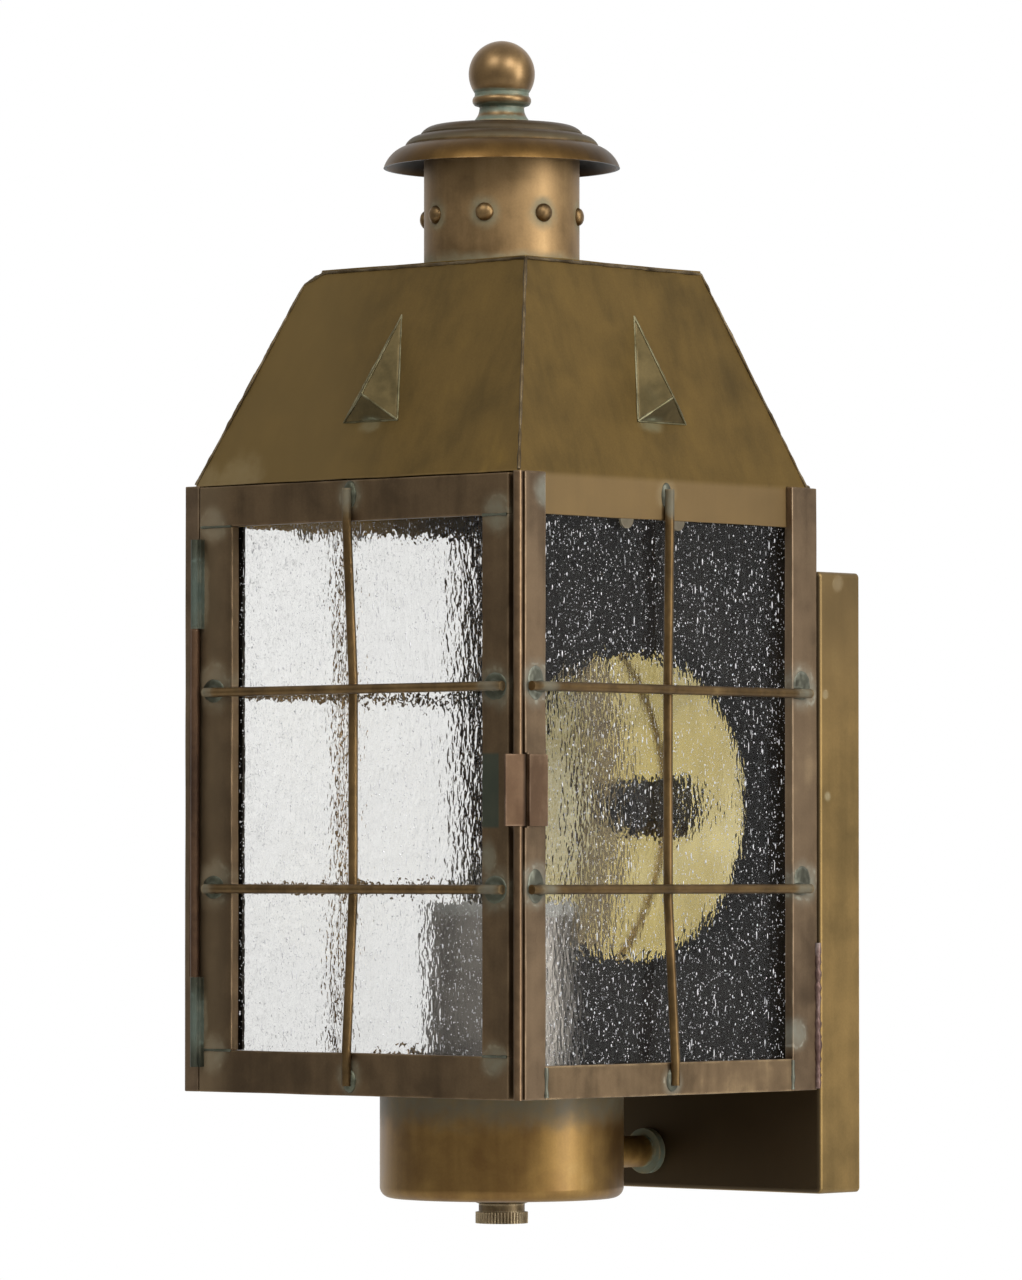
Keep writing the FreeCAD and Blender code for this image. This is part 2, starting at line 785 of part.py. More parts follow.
# Chimney: a tube with a ring of domed rivets, a stepped spun cap that seats on it, and a turned finial
tier_outer = size.chimney_radius + size.cap_fit + size.cap_sheet
tier_base = size.cap_brim_height + size.cap_step
tier_top = tier_base + size.cap_tier_height
crown_base = tier_top + size.cap_step
crown_top = crown_base + size.cap_crown_height
cap_top = crown_top + size.cap_crown_slope
cap_seat = crown_base
chimney_height = size.cap_above_roof + cap_seat
tube = turned(
    "chimney_tube",
    [
        (size.chimney_radius - size.chimney_wall, 0),
        (size.chimney_radius, 0),
        (size.chimney_radius, chimney_height),
        (size.chimney_radius - size.chimney_wall, chimney_height),
    ],
)
rivet_hole = new_sketch(tube, "XZ_Plane", "rivet_hole")
ring(rivet_hole, zero, size.rivet_above_roof, size.rivet_shank_radius + size.rivet_gap)
around(tube, pocket(tube, rivet_hole, size.chimney_radius * 2), RIVET_COUNT)
first_rivet = FreeCAD.Rotation(FreeCAD.Vector(0, 0, 1), size.rivet_turn.value + 90)
keep(place(tube, zero, zero, roof_top, first_rivet))
rivets = []
for index in range(RIVET_COUNT):
    head = doc.addObject("Part::Ellipsoid", f"rivet_head_{index}")
    head.Angle1 = 0
    head.Angle2 = 90
    bind(head, Radius1=size.rivet_head, Radius2=size.rivet_radius, Radius3=size.rivet_radius)
    head.setExpression("Placement.Base.z", size.chimney_radius.formula)
    shank = doc.addObject("Part::Cylinder", f"rivet_shank_{index}")
    bind(shank, Radius=size.rivet_shank_radius, Height=size.chimney_wall * 2)
    shank.setExpression("Placement.Base.z", (size.chimney_radius - size.chimney_wall * 2).formula)
    rivet = fuse(f"rivet_{index}", head, shank)
    outward = FreeCAD.Rotation(FreeCAD.Vector(0, 0, 1), size.rivet_turn.value + index * 360 / RIVET_COUNT)
    rivets.append(place(rivet, zero, zero, roof_top + size.rivet_above_roof, outward * TURN_TO_X))
keep(group("chimney_rivets", rivets))
cap_hole_radius = size.finial_stud_radius + size.screw_gap
tier_inner = size.cap_tier_radius - size.cap_sheet
drum_inner = size.chimney_radius + size.cap_fit
cap = turned(
    "chimney_cap",
    [
        (size.cap_brim_radius, 0, size.cap_brim_curve, "left"),
        (size.cap_tier_radius, size.cap_brim_height),
        (size.cap_tier_radius, tier_base, size.cap_tier_curve, "left"),
        (tier_outer, tier_top),
        (tier_outer, crown_base, size.cap_crown_curve, "left"),
        (size.cap_crown_radius, crown_top),
        (cap_hole_radius, cap_top),
        (cap_hole_radius, cap_top - size.cap_sheet),
        (size.cap_crown_radius, crown_top - size.cap_sheet),
        (size.cap_crown_radius, cap_seat),
        (drum_inner, cap_seat),
        (drum_inner, tier_top - size.cap_sheet, size.cap_tier_curve, "right"),
        (tier_inner, tier_base - size.cap_sheet),
        (tier_inner, size.cap_brim_height - size.cap_sheet, size.cap_brim_curve, "right"),
        (size.cap_brim_radius - size.cap_sheet, 0),
    ],
)
cap_rim = roof_top + size.cap_above_roof
keep(place(cap, zero, zero, cap_rim))
finial_foot = size.finial_stud_length
neck_low = finial_foot + size.finial_base_height + size.finial_flare_height
neck_high = neck_low + size.finial_neck_height
ring_low = neck_high + size.finial_shoulder_height
ring_high = ring_low + size.finial_ring_height
ball_base = ring_high + size.finial_collar_height
ball_rise = (
    size.finial_ball_radius * size.finial_ball_radius - size.finial_ring_radius * size.finial_ring_radius
).root()
finial = turned(
    "finial",
    [
        (0, 0),
        (size.finial_stud_radius, 0),
        (size.finial_stud_radius, finial_foot),
        (size.finial_base_radius, finial_foot),
        (size.finial_base_radius, finial_foot + size.finial_base_height, size.finial_flare_curve, "right"),
        (size.finial_neck_radius, neck_low),
        (size.finial_neck_radius, neck_high, size.finial_flare_curve, "right"),
        (size.finial_ring_radius, ring_low, size.finial_ring_curve, "left"),
        (size.finial_ring_radius, ring_high),
        (size.finial_ring_radius, ball_base, size.finial_ball_radius, "left"),
        (0, ball_base + ball_rise + size.finial_ball_radius),
    ],
)
keep(place(finial, zero, zero, cap_rim + cap_top - finial_foot))

# Door hinge: a long barrel on the corner post, a knuckle above and below it on the door, and their pin.
# The tubes lie in front of the seam, each on a narrow leaf that is soldered to its bar
door_left = post_edge + size.door_edge_gap
door_top = size.body_height - size.door_top_gap
opening_low = size.door_bottom_rail_height
opening_high = door_top - size.door_top_rail_height
hinge_x = post_edge + size.door_edge_gap / 2
hinge_y = -half_depth - size.hinge_front_gap - size.hinge_radius
hinge_top = opening_high - size.hinge_top_drop
barrel_low = size.hinge_low_up + size.knuckle_length + size.hinge_gap
upper_low = hinge_top - size.knuckle_length
barrel_length = upper_low - size.hinge_gap - barrel_low


def hinge_tube(name, up, length, leaf_from, leaf_to):
    """A tube round the hinge pin with a leaf to the bar that it is soldered to."""
    tube = rod(f"{name}_tube", size.hinge_radius, length, (hinge_x, hinge_y, up))
    leaf = bar(f"{name}_leaf", (leaf_from, hinge_y, up), (leaf_to, -half_depth, up + length))
    bore = rod(f"{name}_bore", size.hinge_pin_radius + size.pivot_clearance, length, (hinge_x, hinge_y, up))
    return keep(cut(name, fuse(f"{name}_blank", tube, leaf), bore))


hinge_tube("hinge_barrel", barrel_low, barrel_length, hinge_x - size.hinge_leaf_width, post_edge)
leaf_edge = hinge_x + size.hinge_leaf_width
hinge_tube("lower_hinge_knuckle", size.hinge_low_up, size.knuckle_length, door_left, leaf_edge)
hinge_tube("upper_hinge_knuckle", upper_low, size.knuckle_length, door_left, leaf_edge)
keep(
    rod("hinge_pin", size.hinge_pin_radius, hinge_top - size.hinge_low_up, (hinge_x, hinge_y, size.hinge_low_up))
)

# Door frame: two rails with two stiles between them
door_right = half_width - size.door_latch_gap
door_back = -inner_y
opening_left = door_left + size.door_hinge_stile_width
opening_right = door_right - size.door_latch_stile_width
keep(bar("door_hinge_stile", (door_left, -half_depth, opening_low), (opening_left, door_back, opening_high)))
keep(bar("door_latch_stile", (opening_right, -half_depth, opening_low), (door_right, door_back, opening_high)))
keep(bar("door_top_rail", (door_left, -half_depth, opening_high), (door_right, door_back, door_top)))
keep(bar("door_bottom_rail", (door_left, -half_depth, 0), (door_right, door_back, opening_low)))

# Panes: the door's behind its frame, the side ones inside the stiles and standing on the floor
pane_left = opening_left - size.glass_lap
pane_right = opening_right + size.glass_lap
pane_back = door_back + size.glass_thick
keep(
    bar(
        "door_glass",
        (pane_left, door_back, opening_low - size.glass_lap),
        (pane_right, pane_back, opening_high + size.glass_lap),
    )
)
side_pane_inner = inner_x - size.glass_thick
side_pane_front = -inner_y + size.clip_width + size.floor_gap
side_pane_back = back_inner - size.clip_width
side_pane_top = size.body_height - size.header_height + size.glass_lap * 2
for side, low_x, high_x in (("right", side_pane_inner, inner_x), ("left", -inner_x, -side_pane_inner)):
    pane_low = (low_x, side_pane_front, size.floor_thick)
    keep(bar(f"{side}_glass", pane_low, (high_x, side_pane_back, side_pane_top)))

# Clips: bent strips soldered beside the panes with a lip behind the glass, and two round tabs under each
# side header. The door has one strip along its whole hinge stile and two short ones on its latch stile
clip_heights = {"low": size.clip_low_up, "high": size.clip_high_up}
clip_back = pane_back + size.clip_sheet


def door_clip(name, edge, outside, lip_end, low, high):
    """An angle beside the door's pane, with its lip over the pane's back."""
    near, far = sorted((edge, outside), key=lambda place: place.value)
    lip_near, lip_far = sorted((outside, lip_end), key=lambda place: place.value)
    upright = bar(f"{name}_side", (near, door_back, low), (far, clip_back, high))
    lip = bar(f"{name}_lip", (lip_near, pane_back, low), (lip_far, clip_back, high))
    return fuse(name, upright, lip)


long_clip_outside = pane_left - size.clip_width
door_clips = [
    door_clip("door_clip_long", pane_left, long_clip_outside, opening_left, opening_low, opening_high)
]
for level, up in clip_heights.items():
    outside = pane_right + size.clip_width
    lip_end = pane_right - size.clip_lip
    top = up + size.clip_height
    door_clips.append(door_clip(f"door_clip_{level}", pane_right, outside, lip_end, up, top))
keep(group("door_glass_clips", door_clips))
for side, way in (("right", 1), ("left", -1)):
    clips = []
    lip_inner = side_pane_inner - size.clip_sheet
    for level, up in clip_heights.items():
        for place_name, edge, outside, lip_end in (
            ("front", side_pane_front, side_pane_front - size.clip_width, side_pane_front + size.clip_lip),
            ("rear", side_pane_back, side_pane_back + size.clip_width, side_pane_back - size.clip_lip),
        ):
            near, far = (outside, edge) if place_name == "front" else (edge, outside)
            lip_near, lip_far = (outside, lip_end) if place_name == "front" else (lip_end, outside)
            upright_x = (lip_inner, inner_x) if way > 0 else (-inner_x, -lip_inner)
            lip_x = (lip_inner, side_pane_inner) if way > 0 else (-side_pane_inner, -lip_inner)
            upright = bar(
                f"{side}_clip_side_{place_name}_{level}",
                (upright_x[0], near, up),
                (upright_x[1], far, up + size.clip_height),
            )
            lip = bar(
                f"{side}_clip_lip_{place_name}_{level}",
                (lip_x[0], lip_near, up),
                (lip_x[1], lip_far, up + size.clip_height),
            )
            clips.append(fuse(f"{side}_clip_{place_name}_{level}", upright, lip))
    for tab_name, tab_y in (("front", -size.front_tab_shift), ("rear", size.rear_tab_shift)):
        tab_x = inner_x if way > 0 else -inner_x - size.tab_sheet
        tab = rod(
            f"{side}_tab_{tab_name}",
            size.tab_radius,
            size.tab_sheet,
            (tab_x, tab_y, size.body_height - size.header_height),
            FreeCAD.Rotation(FreeCAD.Vector(0, 1, 0), 90) * FreeCAD.Rotation(FreeCAD.Vector(0, 0, 1), -90),
        )
        tab.Angle = 180
        clips.append(tab)
    keep(group(f"{side}_glass_clips", clips))

# Wires: on each pane's frame two level ones, soldered on the stiles' faces, and an upright one from rail
# to rail that bends in to pass behind them
wire_heights = {"upper": size.upper_wire_up, "lower": size.lower_wire_up}
wire_depth = size.wire_radius + size.wire_gap
header_low = size.body_height - size.header_height
apron_depth = size.bar_thick - size.sheet


def upright_path(rail_edge, header_edge, header_depth):
    """Points of an upright wire as pairs of its distance out of the frame's face and its height."""
    bend = size.wire_radius * 2
    return [
        (size.wire_radius.value, size.wire_rail_inset.value),
        (size.wire_radius.value, rail_edge.value),
        (-wire_depth.value, (size.lower_wire_up - bend).value),
        (-wire_depth.value, (size.upper_wire_up + bend).value),
        ((size.wire_radius - header_depth).value, header_edge.value),
        ((size.wire_radius - header_depth).value, (size.body_height - size.wire_rail_inset).value),
    ]


def swept_wire(points):
    """A round wire through points, mitred at its bends."""
    path = Part.makePolygon(points)
    circle = Part.makeCircle(size.wire_radius.value, points[0], points[1] - points[0])
    return path.makePipeShell([Part.Wire(circle)], True, False, 1)


door_wire_left = door_left + size.door_wire_hinge_inset
door_wire_length = door_right - size.wire_end_inset - door_wire_left
for level, up in wire_heights.items():
    foot = (door_wire_left, -half_depth - size.wire_radius, up)
    keep(rod(f"door_{level}_wire", size.wire_radius, door_wire_length, foot, TURN_TO_X))
door_path = [FreeCAD.Vector(0, -out, up) for out, up in upright_path(opening_low, opening_high, zero)]
keep(fixed_shape("door_vertical_wire", swept_wire(door_path), size.door_wire_shift, -half_depth, zero))
side_wire_rear = half_depth - size.side_wire_rear_inset
for side, way, inset in (("right", 1, size.wire_end_inset), ("left", -1, size.left_wire_inset)):
    side_wire_front = front_edge[side] + inset
    for level, up in wire_heights.items():
        foot = ((half_width + size.wire_radius) * way, side_wire_front, up)
        length = side_wire_rear - side_wire_front
        keep(rod(f"{side}_{level}_wire", size.wire_radius, length, foot, TURN_TO_BACK))
    side_points = upright_path(size.side_rail_height, header_low, apron_depth)
    side_path = [FreeCAD.Vector(out * way, 0, up) for out, up in side_points]
    keep(fixed_shape(f"{side}_vertical_wire", swept_wire(side_path), half_width * way, zero, zero))

# Reflector: a shallow polished cone on the back panel, held by a domed nut on a stud
stud_hole_radius = size.stud_radius + size.screw_gap
reflector_rim = size.reflector_depth + size.reflector_sheet
reflector = turned(
    "reflector",
    [
        (stud_hole_radius, 0),
        (size.reflector_flat_radius, 0, size.reflector_curve, "left"),
        (size.reflector_radius, size.reflector_depth),
        (size.reflector_radius, reflector_rim, size.reflector_curve, "right"),
        (size.reflector_flat_radius, size.reflector_sheet),
        (stud_hole_radius, size.reflector_sheet),
    ],
)
keep(place(reflector, zero, back_inner, size.reflector_up, TURN_TO_FRONT))
stud_length = size.stud_end + size.plate_sheet + size.sheet + size.reflector_sheet
nut_dome = size.nut_height - size.nut_skirt
nut_curve = (size.nut_radius * size.nut_radius + nut_dome * nut_dome) / (nut_dome * 2)
nut = turned(
    "reflector_nut",
    [
        (0, 0),
        (size.stud_radius, 0),
        (size.stud_radius, stud_length),
        (size.nut_radius, stud_length),
        (size.nut_radius, stud_length + size.nut_skirt, nut_curve, "left"),
        (0, stud_length + size.nut_height),
    ],
)
keep(place(nut, zero, back_inner - size.reflector_sheet + stud_length, size.reflector_up, TURN_TO_FRONT))

# Cup below the floor, with the hole that the wire arm enters by
cup = turned(
    "bottom_cup",
    [
        (nipple_hole_radius, 0),
        (size.cup_radius - size.cup_edge_radius, 0, size.cup_edge_radius, "left"),
        (size.cup_radius, size.cup_edge_radius),
        (size.cup_radius, size.cup_height),
        (size.cup_radius - size.cup_wall, size.cup_height),
        (size.cup_radius - size.cup_wall, size.cup_edge_radius, size.cup_edge_radius - size.cup_wall, "right"),
        (size.cup_radius - size.cup_edge_radius, size.cup_wall),
        (nipple_hole_radius, size.cup_wall),
    ],
)
arm_hole = new_sketch(cup, "XZ_Plane", "arm_hole")
ring(arm_hole, zero, size.cup_height - size.arm_drop, size.arm_radius + size.screw_gap)
pocket(cup, arm_hole, size.cup_radius * 2)
keep(place(cup, zero, zero, -size.cup_height))
arm_start = size.cup_radius - size.cup_wall - size.arm_end
flange_end = half_depth - arm_start
arm_length = flange_end + size.plate_sheet + size.arm_end
arm_bore = size.arm_radius - size.arm_wall
arm = turned(
    "wire_arm",
    [
        (arm_bore, 0),
        (size.arm_radius, 0),
        (size.arm_radius, flange_end - size.arm_flange_thick),
        (size.arm_flange_radius, flange_end - size.arm_flange_thick),
        (size.arm_flange_radius, flange_end),
        (size.arm_radius, flange_end),
        (size.arm_radius, arm_length),
        (arm_bore, arm_length),
    ],
)
keep(place(arm, zero, arm_start, -size.arm_drop, TURN_TO_BACK))

# Washer, threaded nipple and knurled nut that hold the cup to the floor
washer_low = -(size.cup_height + size.washer_height)
washer = turned(
    "cup_washer",
    [
        (nipple_hole_radius, 0),
        (size.washer_neck_radius, 0),
        (size.washer_radius, size.washer_height - size.washer_rim),
        (size.washer_radius, size.washer_height),
        (nipple_hole_radius, size.washer_height),
    ],
)
keep(place(washer, zero, zero, washer_low))
knob_height = size.knob_rim_height + size.knob_neck_height
knob_low = washer_low - size.knob_gap - knob_height
knob_bore = size.nipple_radius + size.pivot_clearance
knob = turned(
    "knurled_nut",
    [
        (0, 0),
        (size.knob_radius, 0),
        (size.knob_radius, size.knob_rim_height),
        (size.knob_neck_radius, size.knob_rim_height),
        (size.knob_neck_radius, knob_height),
        (knob_bore, knob_height),
        (knob_bore, size.knob_floor),
        (0, size.knob_floor),
    ],
)
groove = new_sketch(knob, "XY_Plane", "groove")
outline(
    groove,
    [
        (size.knob_radius - size.knurl_depth, 0),
        (size.knob_radius + size.knurl_depth, -size.knurl_width),
        (size.knob_radius + size.knurl_depth, size.knurl_width),
    ],
)
groove_cut = pocket(knob, groove, size.knob_rim_height, reverse=True)
around(knob, groove_cut, KNURL_COUNT)
keep(place(knob, zero, zero, knob_low))
nipple_low = knob_low + size.knob_floor + size.knob_gap
nipple_length = size.socket_seat_up - nipple_low
nipple = turned(
    "threaded_nipple",
    [
        (size.nipple_bore_radius, 0),
        (size.nipple_radius, 0),
        (size.nipple_radius, nipple_length),
        (size.nipple_bore_radius, nipple_length),
    ],
)
keep(place(nipple, zero, zero, nipple_low))

# Lamp holder: a brass cup on the floor, and in it the porcelain body with its screw shell and contact
socket_cup = turned(
    "socket_cup",
    [
        (nipple_hole_radius, 0),
        (size.socket_cup_radius, 0),
        (size.socket_cup_radius, size.socket_cup_height),
        (size.socket_cup_radius - size.socket_cup_wall, size.socket_cup_height),
        (size.socket_cup_radius - size.socket_cup_wall, size.socket_cup_wall),
        (nipple_hole_radius, size.socket_cup_wall),
    ],
)
keep(place(socket_cup, zero, zero, size.floor_thick))
socket_radius = size.socket_cup_radius - size.socket_cup_wall - size.socket_gap
shell_radius = size.shell_bore_radius + size.shell_wall
socket_bore = shell_radius + size.screw_gap
recess_floor = size.socket_floor - size.contact_height
recess_radius = size.contact_radius + size.screw_gap
lamp_socket = turned(
    "lamp_socket",
    [
        (0, 0),
        (socket_radius, 0),
        (socket_radius, size.socket_height),
        (socket_bore, size.socket_height),
        (socket_bore, size.socket_floor),
        (recess_radius, size.socket_floor),
        (recess_radius, recess_floor),
        (0, recess_floor),
    ],
)
keep(place(lamp_socket, zero, zero, size.socket_seat_up))
shell = turned(
    "screw_shell",
    [
        (size.shell_bore_radius, 0),
        (shell_radius, 0),
        (shell_radius, size.shell_height),
        (size.shell_bore_radius, size.shell_height),
    ],
)
keep(place(shell, zero, zero, size.socket_seat_up + size.socket_floor))
contact_foot = (zero, zero, size.socket_seat_up + recess_floor)
keep(rod("centre_contact", size.contact_radius, size.contact_height, contact_foot))

# Build, check and write every node
doc.recompute()
for item in doc.Objects:
    if "Invalid" in item.State or "Error" in item.State:
        raise RuntimeError(f"{item.Name} failed: {item.State}")
for piece in nodes:
    if piece.Shape.isNull() or not piece.Shape.isValid():
        raise RuntimeError(f"{piece.Label} has no valid shape")
os.makedirs("parts", exist_ok=True)
for piece in nodes:
    piece.Shape.exportStep(f"parts/{piece.Label}.step")
    print(f"{piece.Label}: {len(piece.Shape.Solids)} solid, {piece.Shape.Volume:.1f} mm3")
print(f"{len(nodes)} nodes")
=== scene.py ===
import bmesh
import bpy
import json
import math
from mathutils import Matrix, Vector, noise as ripple

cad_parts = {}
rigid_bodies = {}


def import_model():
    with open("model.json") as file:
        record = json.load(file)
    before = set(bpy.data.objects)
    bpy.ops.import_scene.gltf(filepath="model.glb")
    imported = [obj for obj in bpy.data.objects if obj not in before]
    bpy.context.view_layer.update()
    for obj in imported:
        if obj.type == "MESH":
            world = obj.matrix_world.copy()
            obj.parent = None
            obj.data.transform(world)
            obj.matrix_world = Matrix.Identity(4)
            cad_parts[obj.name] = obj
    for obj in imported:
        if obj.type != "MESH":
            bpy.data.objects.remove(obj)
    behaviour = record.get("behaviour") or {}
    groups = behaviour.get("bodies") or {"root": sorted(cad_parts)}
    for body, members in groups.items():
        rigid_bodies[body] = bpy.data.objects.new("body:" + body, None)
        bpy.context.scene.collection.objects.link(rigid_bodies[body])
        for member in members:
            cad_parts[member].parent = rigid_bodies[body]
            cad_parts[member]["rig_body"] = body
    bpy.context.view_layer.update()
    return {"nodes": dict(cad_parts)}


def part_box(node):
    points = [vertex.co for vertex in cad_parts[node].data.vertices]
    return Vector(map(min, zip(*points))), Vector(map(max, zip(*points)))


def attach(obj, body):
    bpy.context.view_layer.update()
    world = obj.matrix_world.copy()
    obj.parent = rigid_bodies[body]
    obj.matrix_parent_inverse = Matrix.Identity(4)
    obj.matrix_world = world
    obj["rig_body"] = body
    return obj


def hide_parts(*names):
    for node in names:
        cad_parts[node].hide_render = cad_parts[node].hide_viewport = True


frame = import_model()
nodes = frame["nodes"]

# Wall plate: a pan folded from sheet brass, which hides the outlet box and carries the lantern.
# Its corners are soldered and dressed flush, and its skin has aged from gold to olive.
# The patina that all the brass shares is worked out here first.
CUP_LOW, CUP_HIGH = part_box("bottom_cup")
AXIS_Y = (CUP_LOW.y + CUP_HIGH.y) / 2
FOOT_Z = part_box("right_rear_stile")[0].z


def at(x, y, z):
    """A place given in millimetres from the lantern's upright axis and the foot of its body."""
    return Vector((x / 1000, AXIS_Y + y / 1000, FOOT_Z + z / 1000))


def new_group(name, inputs, outputs, use="Shader"):
    """A node group. Gives the tree, its inputs and its outputs. An input can have a value to start with."""
    tree = bpy.data.node_groups.new(name, f"{use}NodeTree")
    for label, kind, *value in inputs:
        socket = tree.interface.new_socket(label, in_out="INPUT", socket_type=f"NodeSocket{kind}")
        if value:
            socket.default_value = value[0]
    for label, kind in outputs:
        tree.interface.new_socket(label, in_out="OUTPUT", socket_type=f"NodeSocket{kind}")
    return tree, tree.nodes.new("NodeGroupInput").outputs, tree.nodes.new("NodeGroupOutput").inputs


def feed(tree, socket, value):
    """Links a socket to another node's output, or sets it to a plain value."""
    if isinstance(value, bpy.types.NodeSocket):
        tree.links.new(value, socket)
    else:
        socket.default_value = value


def put(tree, kind, inputs=(), **settings):
    """A node with its settings made and its inputs fed."""
    node = tree.nodes.new(kind)
    for name, value in settings.items():
        setattr(node, name, value)
    for key, value in dict(inputs).items():
        feed(tree, node.inputs[key], value)
    return node


def add(tree, kind, inputs=(), **settings):
    return put(tree, f"ShaderNode{kind}", inputs, **settings)


def calc(tree, operation, *values):
    return add(tree, "Math", dict(enumerate(values)), operation=operation).outputs[0]


def times(tree, first, second):
    return calc(tree, "MULTIPLY", first, second)


def times_plus(tree, first, second, third):
    return calc(tree, "MULTIPLY_ADD", first, second, third)


def vector_calc(tree, operation, *values):
    node = add(tree, "VectorMath", dict(enumerate(values)), operation=operation)
    return node.outputs["Value" if operation in ("LENGTH", "DOT_PRODUCT") else "Vector"]


def object_place(tree):
    """Where a point lies in its object."""
    return add(tree, "TexCoord").outputs["Object"]


def tint(tree, share, first, second, mode="MIX"):
    """Mixes two colours."""
    node = add(tree, "Mix", data_type="RGBA", blend_type=mode)
    sockets = {socket.identifier: socket for socket in node.inputs}
    feed(tree, sockets["Factor_Float"], share)
    feed(tree, sockets["A_Color"], first)
    feed(tree, sockets["B_Color"], second)
    return next(socket for socket in node.outputs if socket.identifier == "Result_Color")


def fade(tree, value, low, high):
    """Goes smoothly from 0 at low to 1 at high."""
    inputs = {"Value": value, "From Min": low, "From Max": high}
    return add(tree, "MapRange", inputs, interpolation_type="SMOOTHSTEP").outputs["Result"]


def spread(tree, value, low, high):
    """Spreads a value that goes from 0 to 1 over low to high."""
    return add(tree, "MapRange", {"Value": value, "To Min": low, "To Max": high}).outputs["Result"]


def clouds(tree, vector, scale, detail=4.0, twist=0.0):
    """Soft noise from 0 to 1."""
    inputs = {"Vector": vector, "Scale": scale, "Detail": detail, "Distortion": twist}
    return add(tree, "TexNoise", inputs).outputs[0]


def build_stain_spot():
    """A hazy patch of verdigris round a place, with a thin line where it dried. Axes flatten it."""
    inputs = [
        ("Vector", "Vector", (0, 0, 0)),
        ("Place", "Vector", (0, 0, 0)),
        ("Axes", "Vector", (1, 1, 1)),
        ("Reach", "Float", 0.006),
    ]
    tree, given, result = new_group("Stain Spot", inputs, [("Stain", "Float"), ("Chalk", "Float")])
    place = given["Vector"]
    away = vector_calc(tree, "SUBTRACT", place, given["Place"])
    away = vector_calc(tree, "LENGTH", vector_calc(tree, "MULTIPLY", away, given["Axes"]))
    ragged = spread(tree, clouds(tree, place, 150.0, 5.0, 0.5), -0.3, 0.3)
    far = calc(tree, "ADD", calc(tree, "DIVIDE", away, given["Reach"]), ragged)
    feed(tree, result["Stain"], fade(tree, far, 1.0, 0.3))
    rim = times(tree, fade(tree, far, 0.52, 0.62), fade(tree, far, 0.74, 0.64))
    feed(tree, result["Chalk"], rim)
    return tree


BLOT_FINENESS, RUN_SCALE, GRAIN_SCALE, MOSS_SCALE, CRUST_SCALE = 5.0, 260.0, 1500.0, 34.0, 420.0
WIDE_SHARE, BLOT_SHARE, RUN_SHARE = 0.6, 0.25, 0.15
DRAWN_OUT, RUN_DOWN = (1.0, 1.0, 0.45), (1.0, 1.0, 0.06)
CHALK_PALENESS = (2.4, 2.4, 2.5, 1)


def build_patina():
    """The skin of old brass: clouds and runs from dark to bright, a green haze, stains and fine grain."""
    inputs = [
        ("Vector", "Vector", (0, 0, 0)),
        ("Dark", "Color", (0.05, 0.03, 0.015, 1)),
        ("Warm", "Color", (0.16, 0.1, 0.04, 1)),
        ("Bright", "Color", (0.3, 0.19, 0.07, 1)),
        ("Haze", "Color", (0.12, 0.13, 0.1, 1)),
        ("Cloud Scale", "Float", 22.0),
        ("Bright Share", "Float", 0.4),
        ("Green Share", "Float", 0.3),
        ("Stain", "Float", 0.0),
        ("Chalk", "Float", 0.0),
        ("Gloss", "Float", 0.5),
    ]
    outputs = [("Color", "Color"), ("Green", "Float"), ("Roughness", "Float"), ("Height", "Float")]
    tree, given, result = new_group("Brass Patina", inputs, outputs)
    place = given["Vector"]
    drawn = vector_calc(tree, "MULTIPLY", place, DRAWN_OUT)
    wide = clouds(tree, drawn, given["Cloud Scale"], 3.0, 0.6)
    blot_scale = times(tree, given["Cloud Scale"], BLOT_FINENESS)
    blots = clouds(tree, place, blot_scale, 6.0, 0.3)
    runs = clouds(tree, vector_calc(tree, "MULTIPLY", place, RUN_DOWN), RUN_SCALE, 3.0)
    grain = clouds(tree, place, GRAIN_SCALE, 2.0)
    mixed = times_plus(tree, wide, WIDE_SHARE, times(tree, blots, BLOT_SHARE))
    mixed = times_plus(tree, runs, RUN_SHARE, mixed)
    brass = tint(tree, fade(tree, mixed, 0.36, 0.6), given["Dark"], given["Warm"])
    shine_from = times_plus(tree, given["Bright Share"], -0.25, 0.66)
    shine = fade(tree, mixed, shine_from, calc(tree, "ADD", shine_from, 0.16))
    brass = tint(tree, shine, brass, given["Bright"])
    brass = tint(tree, 1.0, brass, spread(tree, grain, 0.88, 1.12), "MULTIPLY")
    moss = clouds(tree, drawn, MOSS_SCALE, 6.0, 0.4)
    haze_from = times_plus(tree, given["Green Share"], -0.4, 0.82)
    haze = times(tree, fade(tree, moss, haze_from, calc(tree, "ADD", haze_from, 0.26)), 0.45)
    brass = tint(tree, haze, brass, tint(tree, 0.5, given["Dark"], given["Haze"]))
    crust = clouds(tree, place, CRUST_SCALE, 5.0)
    stain = times(tree, given["Stain"], spread(tree, crust, 0.45, 1.15))
    brass = tint(tree, times(tree, stain, 0.85), brass, given["Haze"])
    chalk = times(tree, given["Chalk"], fade(tree, crust, 0.4, 0.62))
    chalk = times(tree, chalk, fade(tree, blots, 0.38, 0.6))
    pale = tint(tree, 1.0, given["Haze"], CHALK_PALENESS, "MULTIPLY")
    feed(tree, result["Color"], tint(tree, times(tree, chalk, 0.7), brass, pale))
    crusted = times_plus(tree, haze, 0.4, calc(tree, "MAXIMUM", stain, chalk))
    crusted = calc(tree, "MINIMUM", crusted, 1.0)
    feed(tree, result["Green"], crusted)
    satin = times_plus(tree, given["Gloss"], -0.3, 0.56)
    rough = times_plus(tree, blots, 0.14, satin)
    feed(tree, result["Roughness"], times_plus(tree, crusted, 0.22, rough))
    height = times_plus(tree, blots, 0.1, wide)
    height = times_plus(tree, grain, 0.008, height)
    crust = times(tree, stain, crust)
    feed(tree, result["Height"], times_plus(tree, crust, 0.06, height))
    return tree


WEAR_REACH, WEAR_SCALE = 0.0011, 130.0


